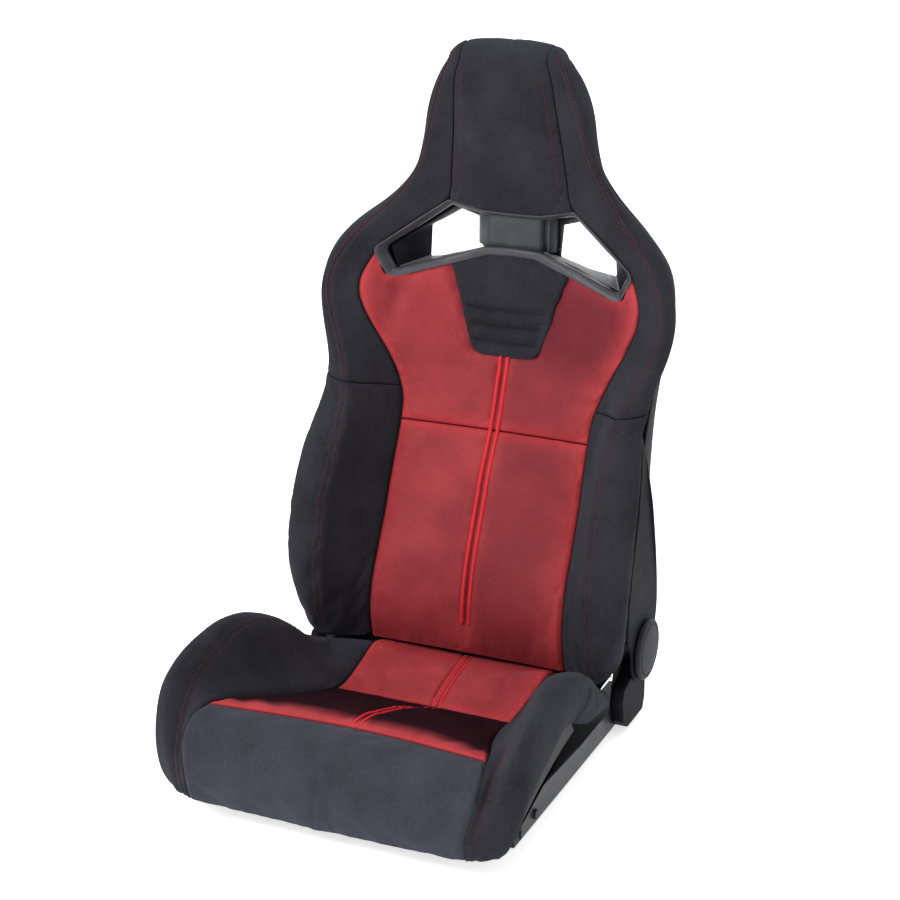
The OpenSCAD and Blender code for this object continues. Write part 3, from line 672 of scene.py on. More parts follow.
SIDE_STEPS = [6, 6, 4, 4, 4, 3, 4, 2]
SIDE_COLUMNS = np.concatenate([[0], np.cumsum(SIDE_STEPS)])


def slanted(grid, low, high):
    """Each column resampled between its own lowest and highest z."""
    z = grid[:, 0, 2]
    v = (z - z[0]) / (z[-1] - z[0])
    out = grid.copy()
    for j in range(grid.shape[1]):
        want = low[j] + (high[j] - low[j]) * v
        for k in range(3):
            out[:, j, k] = np.interp(want, z, grid[:, j, k])
        out[:, j, 2] = want
    return out


def waist(count):
    """Height of the joining seam at the waist, column by column."""
    return np.interp(np.arange(count), SIDE_COLUMNS, [440, 447, 454, 459, 462, 464, 466, 466, 466])


def back_side_grid():
    z = np.arange(76, 470.1, 5.0)
    g = spline(side_ctrl(z), SIDE_STEPS)
    g[..., 2] = z[:, None]
    low = np.interp(np.arange(g.shape[1]), SIDE_COLUMNS, [86, 88, 91, 94, 100, 112, 124, 132, 136])
    g = slanted(g, low, waist(g.shape[1]) - 0.05)
    return capped(g, [0.985, 0.93, 0.82, 0.62, 0.36, 0.1], (0, 0, -15))


def head_side_grid():
    z = np.concatenate([np.arange(435, 640, 5.0), np.arange(640, 740, 4.0), np.arange(740, 925, 5.0), [925.0]])
    g = spline(side_ctrl(z), SIDE_STEPS)
    g[..., 2] = z[:, None]
    g = slanted(g, waist(g.shape[1]) + 0.05, np.full(g.shape[1], 925.0))
    top = g[-1]
    peak = np.array([66.5, 303, 947])
    away = top[:, :2] - peak[:2]
    outward = (away[:, 0] / np.maximum(np.linalg.norm(away, axis=1), 1e-6)) ** 2
    cap = []
    for f in np.linspace(1, 0, 10)[1:]:
        row = top.copy()
        row[:, :2] = peak[:2] + away * max(f, 0.03)
        row[:, 2] = 925 + (peak[2] - 925) * lerp(math.sqrt(1 - f * f), 1 - f ** 1.35, outward)
        cap.append(row)
    return np.concatenate([g, np.stack(cap)])


def dense(n, edge=0.02):
    """-1 to 1 in n steps, finer by both ends and by the middle."""
    t = np.linspace(-1, 1, n + 1)
    extra = np.array([edge, edge * 2.4, edge * 4.5])
    return np.unique(np.concatenate([t, 1 - extra, extra - 1, extra * 0.8, -extra * 0.8]).round(6))


def insert_grid(z_low, z_high, t):
    """Middle panel of the backrest. z_low and z_high give the end heights for each share t."""
    v = np.unique(np.concatenate([np.linspace(0, 1, 44), [0.006, 0.016, 0.03, 0.97, 0.984, 0.994]]))
    z = z_low[None] + (z_high - z_low)[None] * v[:, None]
    w = mid_width(z.ravel()).reshape(z.shape) - 0.4
    y = mid_depth(z.ravel(), np.broadcast_to(t, z.shape).ravel()).reshape(z.shape)
    return np.stack([w * t, y, z], 2)


def bezel_line(x):
    """Height where the red panels meet the lower bar of the bezel, at |x|."""
    return np.interp(x, [0, 34, 40, 100, 168, 178, 186, 193, 202], [640, 640, 638, 621, 602, 603, 617, 632, 640])


# ---- backrest upholstery --------------------------------------------------------------

def both_sides(name, grid, hint, material, body, node_sets, **kw):
    """A right-hand panel and its mirror image; returns the outer grid of the right one."""
    for (side, word), nodes in zip(SIDES, node_sets):
        outer = upholster(f"{name}_{word}", flipped(grid, side), flipped(hint, side), material, body, nodes,
                          **kw)
    return outer


back_side = edged(back_side_grid(), 40)


def stitch_pair(name, grid, rows, at, gap, body):
    """Two rows of thread along each side pad, at the arc length at[row] and gap mm further on."""
    parts = {side: [] for side, _ in SIDES}
    across = normals(grid, (0.2, -1, 0.2))
    s = arc(grid, 1)
    for shift in (0.0, gap):
        pts = np.array([along(at[row] + shift, s[row], grid[row]) for row in rows])
        ways = np.array([along(at[row] + shift, s[row], across[row]) for row in rows])
        path = evenly(pts, 1.5)
        before, after = lengths(pts), lengths(path)
        ways = along(after * before[-1] / after[-1], before, ways)
        for side in parts:
            parts[side] += stitch_parts(flipped(path, side), flipped(ways, side))
    for side, word in SIDES:
        joined(f"{name}_{word}", parts[side], THREAD, body)


def held_rows(grid, first=0, last=0):
    """Pins on the first and last rows of a grid."""
    pins = np.zeros(grid.shape[:2])
    pins[:first] = 1
    pins[len(pins) - last:] = 1
    return pins


def ridge_groove(grid, at, gap, depth=1.6, width=3.0):
    """Two sewn lines along a side pad, at the arc length at[row] and gap mm further on."""
    d = arc(grid, 1) - at[:, None]
    return depth * (np.exp(-(d / width) ** 2) + np.exp(-((d - gap) / width) ** 2))


def nearest_arc(grid, gaps):
    """Arc length of the point with the smallest gap in every row, averaged over seven rows."""
    at = arc(grid, 1)[np.arange(len(grid)), gaps.argmin(1)]
    return np.convolve(np.pad(at, 3, mode="edge"), np.ones(7) / 7, "valid")


def ridge_arc(grid):
    """Arc length at which each row crosses the stitched ridge."""
    p = curve(RIDGE, np.clip(grid[..., 2].mean(1), RIDGE[0, 0], RIDGE[-1, 0]))
    return nearest_arc(grid, np.hypot(grid[..., 0] - p[:, :1], grid[..., 1] - p[:, 1:]))


at_back = ridge_arc(back_side)
back_outer = both_sides(
    "back_side_pad", back_side, (0.3, -1, 0), BLACK, "backrest",
    (["back_bolster_left"], ["back_bolster_right"]),
    roll="lr", joint="t", swell=2.5, thick=10, cap=(-5, (0, 0, -1)), pins=held_rows(back_side, first=5),
    grooves=ridge_groove(back_side, at_back, BACK_GAP), fill=0.8)
stitch_pair("back_bolster_stitch", back_outer, range(7, len(back_side) - 1), at_back, BACK_GAP, "backrest")

head_side = edged(head_side_grid(), 40)
at_head = ridge_arc(head_side)
head_outer = both_sides(
    "shoulder_head_pad", head_side, (0.3, -1, 0), BLACK, "backrest",
    (["shoulder_wing_left", "head_side_left"], ["shoulder_wing_right", "head_side_right"]),
    roll="lr", joint="b", swell=2.5, thick=10, cap=(5, (0.1, -0.1, 1)), pins=held_rows(head_side, last=6),
    soften=lerp(1.0, 0.3, np.clip((head_side[..., 2] - 700) / 40, 0, 1)),
    grooves=ridge_groove(head_side, at_head, BACK_GAP) * np.clip((935 - head_side[..., 2]) / 20, 0, 1), fill=0.8)
stitch_pair("shoulder_wing_stitch", head_outer, range(1, len(head_side) - 7), at_head, WING_GAP, "backrest")

# Middle panels: a centre seam with two cords on it runs from the patch to the bite line
t_all = dense(44)
ones = np.ones_like(t_all)


def cord_groove(grid, low, high, depth=3.8, width=8.5):
    """Hollow under the two cords, between two heights."""
    x, z = grid[..., 0], grid[..., 2]
    inside = np.clip((z - low) / 8, 0, 1) * np.clip((high - z) / 8, 0, 1)
    return depth * np.exp(-(x / width) ** 2) * inside


def middle_pins(grid, low, high):
    """Pins along the centre seam, between two heights."""
    x, z = grid[..., 0], grid[..., 2]
    return np.where((np.abs(x) < 5) & (z > low) & (z < high), 1.0, 0.0)


def back_tones(grid):
    """Painted shade on the backrest's red panels: darker beside the centre seam on one side, by the bezel's corners
    and towards the bottom.
    """
    x, z = grid[..., 0], grid[..., 2]
    w = np.abs(x).max(1)[:, None]
    right = np.clip(x / 24, 0, 1) * np.clip((w - x - 6) / 46, 0, 1)
    right = right * lerp(0.6, 1.05, np.clip((z - 470) / 50, 0, 1))
    left = 0.15 * np.clip(-x / 30, 0, 1) * np.clip((w + x - 6) / 40, 0, 1)
    corner = np.exp(-((np.abs(x) - 176) / 24) ** 2 - ((z - 596) / 26) ** 2)
    low = 0.25 * np.clip((128 - z) / 40, 0, 1)
    return {"dusk": np.clip(0.95 * right + left + 0.65 * corner + low, 0, 1), "shade": np.zeros_like(x)}


lower = insert_grid(78 * ones, CROSS_SEAM * ones, t_all)
lower_outer = upholster("back_panel_lower", lower, (0, -1, 0.2), RED, "backrest", ["back_insert_lower"],
                        roll="lrt", depth=4, width=8, swell=3.0, pins=middle_pins(lower, 122, 400),
                        grooves=cord_groove(lower, 122, 410), fill=0.7, flare=7, tones=back_tones(lower))
top_z = bezel_line(np.abs(t_all) * 205.0) + 1.5
upper = insert_grid(CROSS_SEAM * ones, top_z, t_all)


def patch_half_at(z):
    """Half width of the shoulder patch at height z."""
    return 50 + 40 * (z - 496) / 123


under_patch = (np.clip((patch_half_at(upper[..., 2]) + 3.5 - np.abs(upper[..., 0])) / 6, 0, 1)
               * np.clip((upper[..., 2] - 495) / 5, 0, 1))
upper_outer = upholster("back_panel_upper", upper, (0, -1, 0.2), RED, "backrest", ["back_insert_upper"],
                        roll="lrbt", depth=4, width=8, swell=3.5,
                        pins=np.maximum(middle_pins(upper, 380, 500), under_patch),
                        grooves=cord_groove(upper, 380, 498) + 7.0 * under_patch, fill=0.8, flare=7,
                        tones=back_tones(upper))


def patch_grid():
    """Shoulder patch, a little in front of the upper panel."""
    t = dense(26, 0.03)
    v = np.unique(np.concatenate([np.linspace(0, 1, 84), [0.01, 0.025, 0.975, 0.99]]))
    low = 494 + 13 * np.clip((np.abs(t) - 0.68) / 0.32, 0, 1) ** 2.2
    high = bezel_line(np.abs(t) * 86) + 1.5
    z = low[None] + (high - low)[None] * v[:, None]
    half = patch_half_at(z)
    x = half * t[None] * (1 - 0.02 * (1 - v[:, None]) * (np.abs(t[None]) > 0.9))
    share = x / mid_width(z.ravel()).reshape(z.shape)
    y = mid_depth(z.ravel(), share.ravel()).reshape(z.shape) - 1.6
    return np.stack([x, y, z], 2)


patch = patch_grid()


def bands(grid, heights, share, fade, size, width):
    """Soft bands across the patch that sag towards its middle and fade out before its edges."""
    x, z = grid[..., 0], grid[..., 2]
    out = np.zeros(x.shape)
    for height in heights:
        inside = np.clip((share * patch_half_at(height) - np.abs(x)) / fade, 0, 1)
        out += size * np.exp(-((z - height - 3 * (x / 70) ** 2) / width) ** 2) * inside
    return out


# Three sewn channels across the patch, with raised ribs between them
upholster("shoulder_patch_pad", patch, (0, -1, 0.2), BLACK, "backrest", ["shoulder_patch"], roll="lrb", depth=2.4,
          width=4, thick=4, swell=1.5, grooves=bands(patch, (514.0, 537.5, 561.0), 0.9, 5, 5.5, 2.3),
          extra=bands(patch, (525.7, 549.3, 573.0), 0.84, 12, 3.0, 7), fill=0.9)


def surface_path(grid, x, low, high):
    """Points 1.4 mm in front of a panel of the backrest, up the line at x."""
    mid = grid.shape[1] // 2
    pts = []
    for z in np.arange(low, high, 3.0):
        row = int(np.clip(np.searchsorted(grid[:, mid, 2], z), 1, len(grid) - 1))
        a, b = grid[row - 1], grid[row]
        line = a + (b - a) * ((z - a[mid, 2]) / max(b[mid, 2] - a[mid, 2], 1e-6))
        pts.append([x, np.interp(x, line[:, 0], line[:, 1]) - 1.4, z])
    return pts


def piping(name, paths, radius, up, axis, tuck, body):
    """Red cords on a panel. tuck: shift of a whole cord along the axis, and of its first and last ends."""
    shift, first, last = tuck
    parts = []
    for path in paths:
        path = evenly(path, 2.5)
        k = np.arange(len(path))
        path[:, axis] += shift + first * np.exp(-k / 1.5) + last * np.exp(-k[::-1] / 1.5)
        parts.append(tube_mesh(path, radius, 10, up=up, taper=2))
    joined(name, parts, PIPING, body)


# Two cords side by side over the centre seam
piping("centre_piping", [surface_path(lower_outer, x, 124, 390) + surface_path(upper_outer, x, 398, 499)
                         for x in (-5.6, 5.6)], 3.0, (0, -1, 0.1), 1, (0, 2.2, 1.5), "backrest")


# ---- headrest middle pad ---------------------------------------------------------------
HEAD_CENTRE = smoothed([(690, 313), (700, 311), (712, 308), (735, 300), (760, 293), (785, 287), (810, 282),
                        (835, 277), (860, 272), (880, 269), (905, 267), (925, 268)], 6)


def head_grid():
    t = dense(30, 0.03)
    v = np.unique(np.concatenate([np.linspace(0, 1, 44), [0.007, 0.018]]))
    low = 701 + 13.5 * np.abs(t) ** 2.0
    z = low[None] + (925 - low)[None] * v[:, None]
    seam_z = np.clip(z, 716, 925)
    seam = curve(SEAM, seam_z.ravel()).reshape(z.shape + (2,))
    half = np.where(z < 722, np.interp(z, [700, 716, 722], [96, 95, 93]), seam[..., 0]) - 0.6
    f = np.abs(t)[None] ** 2.4
    y = lerp(curve(HEAD_CENTRE, z.ravel())[:, 0].reshape(z.shape), seam[..., 1], f)
    front = np.stack([half * t[None], y, z], 2)
    # Over the top: depth and height of the middle, then x, depth and height of the seam
    over = spline([(268, 925, 66), (276, 939, 65), (289, 948.5, 63), (304, 951.5, 61), (318, 949, 60),
                   (327, 940, 59)], [4] * 5)
    edge = spline([(66, 274, 925), (67, 281, 936), (67.5, 290, 943), (66.5, 303, 946.5), (65, 315, 944.5),
                   (63, 323, 936)], [4] * 5)
    top = np.stack([edge[:, 0:1] * t[None] - 0.6 * t[None], lerp(over[:, 0:1], edge[:, 1:2], f),
                    lerp(over[:, 1:2], edge[:, 2:3], f)], 2)
    return np.concatenate([front, top[1:]])


head = head_grid()
head_mid = upholster("head_pad_centre", head, (0, -1, 0.3), BLACK, "backrest", ["head_pad"], roll="lrbt",
                     depth=3, width=6, swell=2.5, fill=0.8,
                     soften=lerp(1.0, 0.35, np.clip((head[..., 2] - 716) / 20, 0, 1)))

# A single row of thread inside each side seam of the pad
head_ways = normals(head_mid, (0, -1, 0.3))
head_arc = arc(head_mid, 1)
middle = head_mid.shape[1] // 2
rows = [k for k, row in enumerate(head_mid) if row[0, 2] > 728 and row[middle, 2] < 912]
parts = []
for inset in (13.0, -13.0):
    at = [inset + (head_arc[k, -1] if inset < 0 else 0) for k in rows]
    pts = [along(a, head_arc[k], head_mid[k]) for a, k in zip(at, rows)]
    ways = [along(a, head_arc[k], head_ways[k]) for a, k in zip(at, rows)]
    parts += stitch_parts(pts, np.array(ways))
joined("head_pad_topstitch", parts, THREAD, "backrest")


# ---- cushion -------------------------------------------------------------------------------
SEAT_SEAM = smoothed([(-250, 203, 143), (-242, 201, 141), (-190, 184, 127), (-125, 160, 104), (-60, 144, 84),
                      (0, 134, 68), (30, 133.5, 68), (60, 135, 73), (100, 137, 81), (122, 138, 85), (138, 138, 84),
                      (152, 138, 77), (172, 137.5, 69), (180, 137, 68)], 5)
SEAT_CENTRE = smoothed([(-216, 128), (-205, 131.5), (-190, 131.5), (-168, 127), (-149, 120.5), (-106, 106),
                        (-70, 93), (-40, 80), (-10, 65), (15, 53), (39, 45)], 5)
REAR_CENTRE = smoothed([(39, 45), (50, 48), (77, 57), (110, 64), (135, 68), (156, 71.5), (180, 73.5)], 5)


def seat_grid(c0, c1, e0, e1, centre, n):
    """Rows from the curve through (0, c0) and the seam at e0 to the curve through c1 and e1."""
    t = dense(44)
    v = np.unique(np.concatenate([np.linspace(0, 1, n), [0.012, 0.03, 0.97, 0.988]]))
    yc, ye = lerp(c0, c1, v), lerp(e0, e1, v)
    seam = curve(SEAT_SEAM, ye)
    z = lerp(curve(centre, yc)[:, 0][:, None], seam[:, 1][:, None], np.abs(t)[None] ** 2.4)
    return np.stack([(seam[:, 0:1] - 0.4) * t[None], lerp(yc[:, None], ye[:, None], t[None] ** 2), z], 2)


def twin_grooves(grid, depth):
    """Two sewn lines with a ridge between them along the middle."""
    x = np.abs(grid[..., 0])
    return depth * np.exp(-((x - 5.0) / 2.2) ** 2) - 0.8 * np.exp(-(x / 3) ** 2)


rear = seat_grid(171, 39.5, 171, -1.5, REAR_CENTRE, 30)
rear_pins = np.where((np.abs(rear[..., 0]) < 6) | (rear[..., 1] > 132), 1.0, 0.0)
# Painted shade on the rear panel: a little darker to the right, and nearly black at its rear edge as the shadow of
# the bite line; matt takes the gloss off near the rear
rear_tones = {"dusk": 0.12 * np.clip(rear[..., 0] / 30, 0, 1), "shade": np.clip((rear[..., 1] - 156) / 6, 0, 1),
              "matt": np.clip((rear[..., 1] - 118) / 20, 0, 1)}
rear_outer = upholster("cushion_panel_rear", rear, (0, 0, 1), RED, "base", ["cushion_rear"], roll="lrt", depth=5,
                       width=8, swell=3.0, pins=rear_pins, grooves=twin_grooves(rear, 3.6), fill=0.8, thick=8,
                       tones=rear_tones)
front = seat_grid(38.5, -213, -2.5, -246, SEAT_CENTRE, 44)
front_pins = np.where(np.abs(front[..., 0]) < 6, 1.0, 0.0)


def thigh_shade(grid):
    """Painted shade on the thigh panel: its crown is painted nearly black, and it turns red in a band along its
    front seam.
    """
    ahead = arc(grid, 0)
    ahead = ahead[-1:] - ahead
    band = 12 + 11 * np.clip(np.abs(grid[..., 0]) / 200, 0, 1)
    return np.clip((ahead - band) / 20, 0, 1) ** 0.6


front_outer = upholster("cushion_panel_front", front, (0, -0.3, 1), RED, "base", ["cushion_front"], roll="lrtb",
                        depth=4.0, width=8, swell=3.5, pins=front_pins, grooves=twin_grooves(front, 3.0), fill=0.8,
                        thick=8, tones={"dusk": np.zeros(front.shape[:2]), "shade": thigh_shade(front)})


def seat_cords(grid, name):
    """Two raised cords along the middle of a cushion panel."""
    mid = grid[2:-2, grid.shape[1] // 2 - 6:grid.shape[1] // 2 + 7]
    paths = [[along(x, row[:, 0], row) for row in mid] for x in (-5.0, 5.0)]
    piping(name, paths, 2.1, (0, 0, 1), 2, (0.6, -2.5, -2.5), "base")


seat_cords(rear_outer, "cushion_piping_rear")
seat_cords(front_outer, "cushion_piping_front")

# Front roll: share, middle (y, z), end (x, y, z)
NOSE_ROWS = [(0, -213.5, 128.5, 201, -247, 140.5), (0.12, -229, 132.5, 204.5, -260, 140),
             (0.25, -250, 130.5, 208.5, -274, 136.5), (0.4, -272, 123, 210.5, -291, 126),
             (0.55, -292, 108.5, 209.5, -304, 110), (0.7, -306, 87, 206, -312.5, 88),
             (0.82, -311.5, 62, 202, -316, 65), (0.92, -310, 38, 200, -315, 44), (1, -298, 16, 201, -305, 24)]


def nose_grid():
    t = dense(46)
    v = np.unique(np.concatenate([np.linspace(0, 1, 46), [0.01, 0.022, 0.98]]))
    c = curve(smoothed(NOSE_ROWS, 0.025, 0.005), v)
    f = np.abs(t)[None] ** 2.4
    return np.stack([(c[:, 2:3] - 0.5) * t[None], lerp(c[:, 0:1], c[:, 3:4], np.abs(t)[None] ** 2.0),
                     lerp(c[:, 1:2], c[:, 4:5], f)], 2)


nose = nose_grid()
x, z = nose[..., 0], nose[..., 2]
puckers = 0.9 * np.exp(-((z - 40 - 22 * np.sin(x / 34.0)) / 9) ** 2) * np.clip((np.abs(x) - 60) / 60, 0, 1)
puckers += 1.4 * np.exp(-(((x - 150) * 0.6 + (z - 118) * 1.2) / 9) ** 2) * np.exp(-((x - 158) / 30) ** 2)
upholster("cushion_front_roll", nose, (0, -1, 0.6), NOSE, "base", ["cushion_nose"], roll="lrbt", depth=3.5,
          width=7, swell=3.5, grooves=puckers, fill=0.8)

# Side bolster of the cushion, stations from the rear end round the front:
# inner seam, stitch line, crest, widest line, lower edge
STATIONS = [
    [(138, 126, 84), (196, 124, 80), (218, 124, 77), (234, 122, 68), (226, 118, 58)],
    [(137, 100, 81), (200, 100, 91), (226, 98, 90), (244, 96, 76), (237, 96, 64)],
    [(135, 60, 73), (206, 60, 109), (232, 60, 112), (251, 58, 95), (241, 60, 74)],
    [(133.5, 30, 68), (211, 30, 131), (236, 30, 136), (257, 28, 115), (242, 30, 78)],
    [(134, 0, 68), (214, 0, 150), (238, 0, 157), (261, -2, 134), (242, -2, 85)],
    [(140, -38, 77), (217, -38, 169), (239, -38, 177), (264, -38, 152), (241.5, -38, 102)],
    [(146, -72, 87), (219, -72, 182), (239, -72, 191), (266, -72, 166), (241, -76, 118)],
    [(160, -125, 104), (222, -125, 190), (238, -125, 203), (267, -125, 174), (240.5, -121, 118)],
    [(172, -160, 116), (224, -160, 182), (241, -160, 203), (267.5, -160, 169), (240.5, -160, 106)],
    [(187, -200, 129), (226, -196, 172), (245, -201, 198), (267.5, -200, 160), (240.5, -200, 89)],
    [(199, -235, 139), (226, -234, 158), (247, -237, 187), (267, -234, 148), (241, -232, 73)],
    [(204.5, -260, 138), (223, -254, 143), (246, -264, 172), (266, -262, 128), (240, -260, 58)],
    [(209.5, -285, 126), (219, -278, 121), (242, -284, 144), (262, -279, 100), (238, -268, 42)],
    [(208.5, -301, 106), (215, -296, 98), (237, -297, 110), (256, -288, 76), (236, -273, 36)],
    [(205, -311, 84), (211, -306, 78), (230, -304, 78), (249, -291, 54), (233, -277, 29)],
    [(202, -315, 58), (206, -311.5, 55), (222, -306, 48), (240, -291, 38), (228, -281, 25)],
    [(201, -309, 25), (204, -307, 25), (218, -300, 25), (232, -288, 27), (222, -283, 24)]]


def bolster_grid():
    c = np.array(STATIONS, float)
    s, t, k, o, low = (c[:, i] for i in range(5))
    m1 = s + (t - s) * np.array([0.60, 0.5, 0.46])
    a1 = k + (o - k) * np.array([0.58, 0.5, 0.2])
    o2 = o + (low - o) * np.array([0.12, 0.5, 0.5])
    o3 = o + (low - o) * np.array([0.5, 0.8, 0.86])
    net = np.stack([s, m1, t, k, a1, o, o2, o3, low], 1)
    across = spline(net, [8, 7, 4, 4, 4, 4, 4, 3])
    return spline(across.swapaxes(0, 1), [4, 7, 5, 5, 6, 6, 9, 6, 7, 7, 5, 5, 4, 4, 4, 4]).swapaxes(0, 1)


bolster = bolster_grid()
bolster = edged(capped(bolster, [0.97, 0.88, 0.7, 0.45, 0.15], (0, 14, -6)), 42)


def seat_stitch_arc(grid):
    """Arc length at which each row crosses the stitch line of the stations."""
    line = spline([p[1] for p in STATIONS], [10] * (len(STATIONS) - 1))
    return nearest_arc(grid, np.linalg.norm(grid[:, :, None] - line, axis=3).min(2))


def near_line(grid, line):
    """Distance of every outward point of the grid from a line of (y, z) points."""
    line = spline([(0, y, z) for y, z in line], [12] * (len(line) - 1))[:, 1:]
    return np.linalg.norm(grid[:, :, None, 1:] - line[None, None], axis=3).min(2)


def flap_creases(grid):
    """Folds on the outer side where the rear flap is sewn on."""
    outside = np.clip((grid[..., 0] - 236) / 10, 0, 1)
    d1 = near_line(grid, [(-30, 157), (-52, 144), (-70, 134), (-60, 108)])
    d2 = near_line(grid, [(-14, 158), (-4, 136), (4, 112)])
    return outside * (4.0 * np.exp(-(d1 / 4.5) ** 2) + 2.6 * np.exp(-(d2 / 6) ** 2)
                      - 1.2 * np.exp(-((d1 - 12) / 6) ** 2))


at_seat = seat_stitch_arc(bolster)
bolster_outer = both_sides(
    "cushion_side_pad", bolster, (0.1, -0.3, 1), BLACK, "base",
    (["cushion_bolster_left"], ["cushion_bolster_right"]),
    roll="lrt", swell=2.0, thick=10, pins=held_rows(bolster, first=5), cap=(-5, (0, 1, -0.4)), fill=0.8,
    grooves=ridge_groove(bolster, at_seat, SEAT_GAP, 1.4) + flap_creases(bolster))
stitch_pair("cushion_bolster_stitch", bolster_outer, range(7, len(bolster) - 3), at_seat, SEAT_GAP, "base")


# ---- hard parts ---------------------------------------------------------------------------

def rounded_corners(points, rounds):
    """Corner cutting, so that a polygon gets small radii."""
    p = np.asarray(points, float)
    for _ in range(rounds):
        nxt = np.roll(p, -1, 0)
        p = np.stack([p * 0.75 + nxt * 0.25, p * 0.25 + nxt * 0.75], 1).reshape(-1, p.shape[1])
    return p


def split_long(points, longest):
    """Polygon with extra points on its long sides, so that only its corners get rounded."""
    p = np.asarray(points, float)
    out = []
    for a, b in zip(p, np.roll(p, -1, 0)):
        d = np.linalg.norm(b - a)
        out.append(a)
        if d > 2 * longest:
            out += [a + (b - a) * longest / d, b - (b - a) * longest / d]
    return np.array(out)


def plate(name, outline, x0, x1, edge, material, body, node, lean=None):
    """Moulded plates on both sides, in the Y-Z plane between x0 and x1, with rounded outer edges."""
    o = np.asarray(outline, float)
    if (o[:, 0] * np.roll(o[:, 1], -1) - np.roll(o[:, 0], -1) * o[:, 1]).sum() < 0:
        o = o[::-1]
    t = np.roll(o, -1, 0) - np.roll(o, 1, 0)
    t /= np.linalg.norm(t, axis=1, keepdims=True)
    inwards = np.stack([-t[:, 1], t[:, 0]], 1)
    bends = np.linspace(0, math.pi / 2, 5)[1:]
    profile = [(0.0, x0), (0.0, x1 - edge)]
    profile += [(edge * (1 - math.cos(a)), x1 - edge + edge * math.sin(a)) for a in bends]
    profile.append((edge + 0.5, x1))
    rings = []
    for inset, x in profile:
        q = o + inwards * inset
        rings.append(np.column_stack([x - (lean(q[:, 1]) if lean else 0) * np.ones(len(o)), q]))
    faces = ring_faces(len(rings), len(o))
    for side, word in SIDES:
        obj = mesh(f"{name}_{word}", flipped(np.concatenate(rings), side), faces, material)
        attach(obj, body, f"{node}_{word}")


PIVOT_Y = 205.0
PIVOT_Z = 113.0


def circle(r, n, a0, a1):
    """n points of an arc about the recline axis, as (y, z)."""
    a = np.radians(np.linspace(a0, a1, n))
    return np.stack([PIVOT_Y + r * np.cos(a), PIVOT_Z + r * np.sin(a)], 1)


# Side covers: a long blade beside the backrest that ends in the round ear at the recline axis
cover_z = np.linspace(152, 438, 40)
front_edge = curve(smoothed([(150, 137), (170, 135), (200, 137), (223, 140), (250, 146), (290, 156), (322, 165),
                             (357, 175), (393, 187), (438, 193)], 8), cover_z)
rear_edge = [(262, 160), (260, 190), (254, 232), (245, 270), (231, 322), (213, 392), (199, 437)]
front_edge = np.column_stack([front_edge, cover_z])[::-1]
cover_outline = np.concatenate([circle(48, 34, 190, 370), rear_edge, front_edge,
                                [(140, 143), (150, 132), (157, 120)]])
plate("side_cover_panel", rounded_corners(cover_outline, 2), 251, 255, 2.2, TRIM, "backrest", "side_cover",
      cover_lean)

# Base covers and valances
base_cover = rounded_corners(split_long([(162, 6), (141, 22), (134, 57), (142, 73), (172, 83), (186, 98), (224, 98),
                                         (234, 62), (234, 24), (226, 6)], 7), 3)
plate("recliner_cover_shell", base_cover, 231, 250, 2.6, TRIM, "base", "recliner_cover")
valance = rounded_corners(split_long([(-232, 40), (-206, 68), (-170, 101), (-121, 117), (-76, 120), (-50, 116),
                                      (-35, 92), (-60, 86), (-110, 77), (-163, 64), (-206, 50)], 8), 3)
plate("side_valance_strip", valance, 236.5, 240.3, 1.6, FLAP, "base", "side_valance")

# Handwheels: a plain disc with a soft rim, a shallow ring groove and a hub behind
WHEEL_PROFILE = [(6.1, 246), (12.2, 246), (13, 246.8), (13, 255), (14, 256), (40, 256), (43.4, 256.7),
                 (44.6, 258.2), (45, 260), (44.6, 261.8), (43.2, 263.4), (41, 264.4), (39.2, 264.7),
                 (38.8, 264.0), (38.3, 262.9), (37.3, 262.8), (36.8, 263.9), (36.2, 264.7), (34, 265.2),
                 (20, 265.8), (3, 266), (0.5, 266)]
WHEEL_SIDES = 96
wheel = np.concatenate([np.column_stack([np.full(WHEEL_SIDES, x), circle(r, WHEEL_SIDES + 1, 0, 360)[:-1]])
                        for r, x in WHEEL_PROFILE])
for side, word in SIDES:
    obj = mesh(f"handwheel_disc_{word}", flipped(wheel, side), ring_faces(len(WHEEL_PROFILE), WHEEL_SIDES), WHEEL)
    attach(obj, "drive", f"handwheel_{word}")

# Bezel round the harness openings
OUTER = [(0, 318, 702), (42, 317, 703), (80, 311, 711.5), (96, 309, 716), (150, 289, 678), (196, 271, 645),
         (199, 270, 636), (180, 277, 600), (170, 280, 599), (100, 303, 618), (36, 316, 637), (0, 318, 638)]
INNER = [(0, 322, 694), (42, 321, 695), (82, 318, 703), (95, 318, 706), (142, 301, 672), (185, 285, 643),
         (187, 284, 636), (174, 285, 610), (166, 287, 611), (104, 306, 630), (42, 313, 649), (0, 316, 650)]


def whole(half):
    """Closed loop from its right half, whose first and last points lie on the middle plane."""
    return np.concatenate([half, flipped(half[1:-1], -1)[::-1]])


def matched(a, b, longest, rounds):
    """Two matching loops with extra points on their long sides and rounded corners."""
    out_a, out_b = [], []
    for i in range(len(a)):
        k = (i + 1) % len(a)
        d = np.linalg.norm(a[k] - a[i])
        out_a.append(a[i])
        out_b.append(b[i])
        if d > 2.2 * longest:
            for s in (longest / d, 0.5, 1 - longest / d):
                out_a.append(lerp(a[i], a[k], s))
                out_b.append(lerp(b[i], b[k], s))
    return rounded_corners(out_a, rounds), rounded_corners(out_b, rounds)


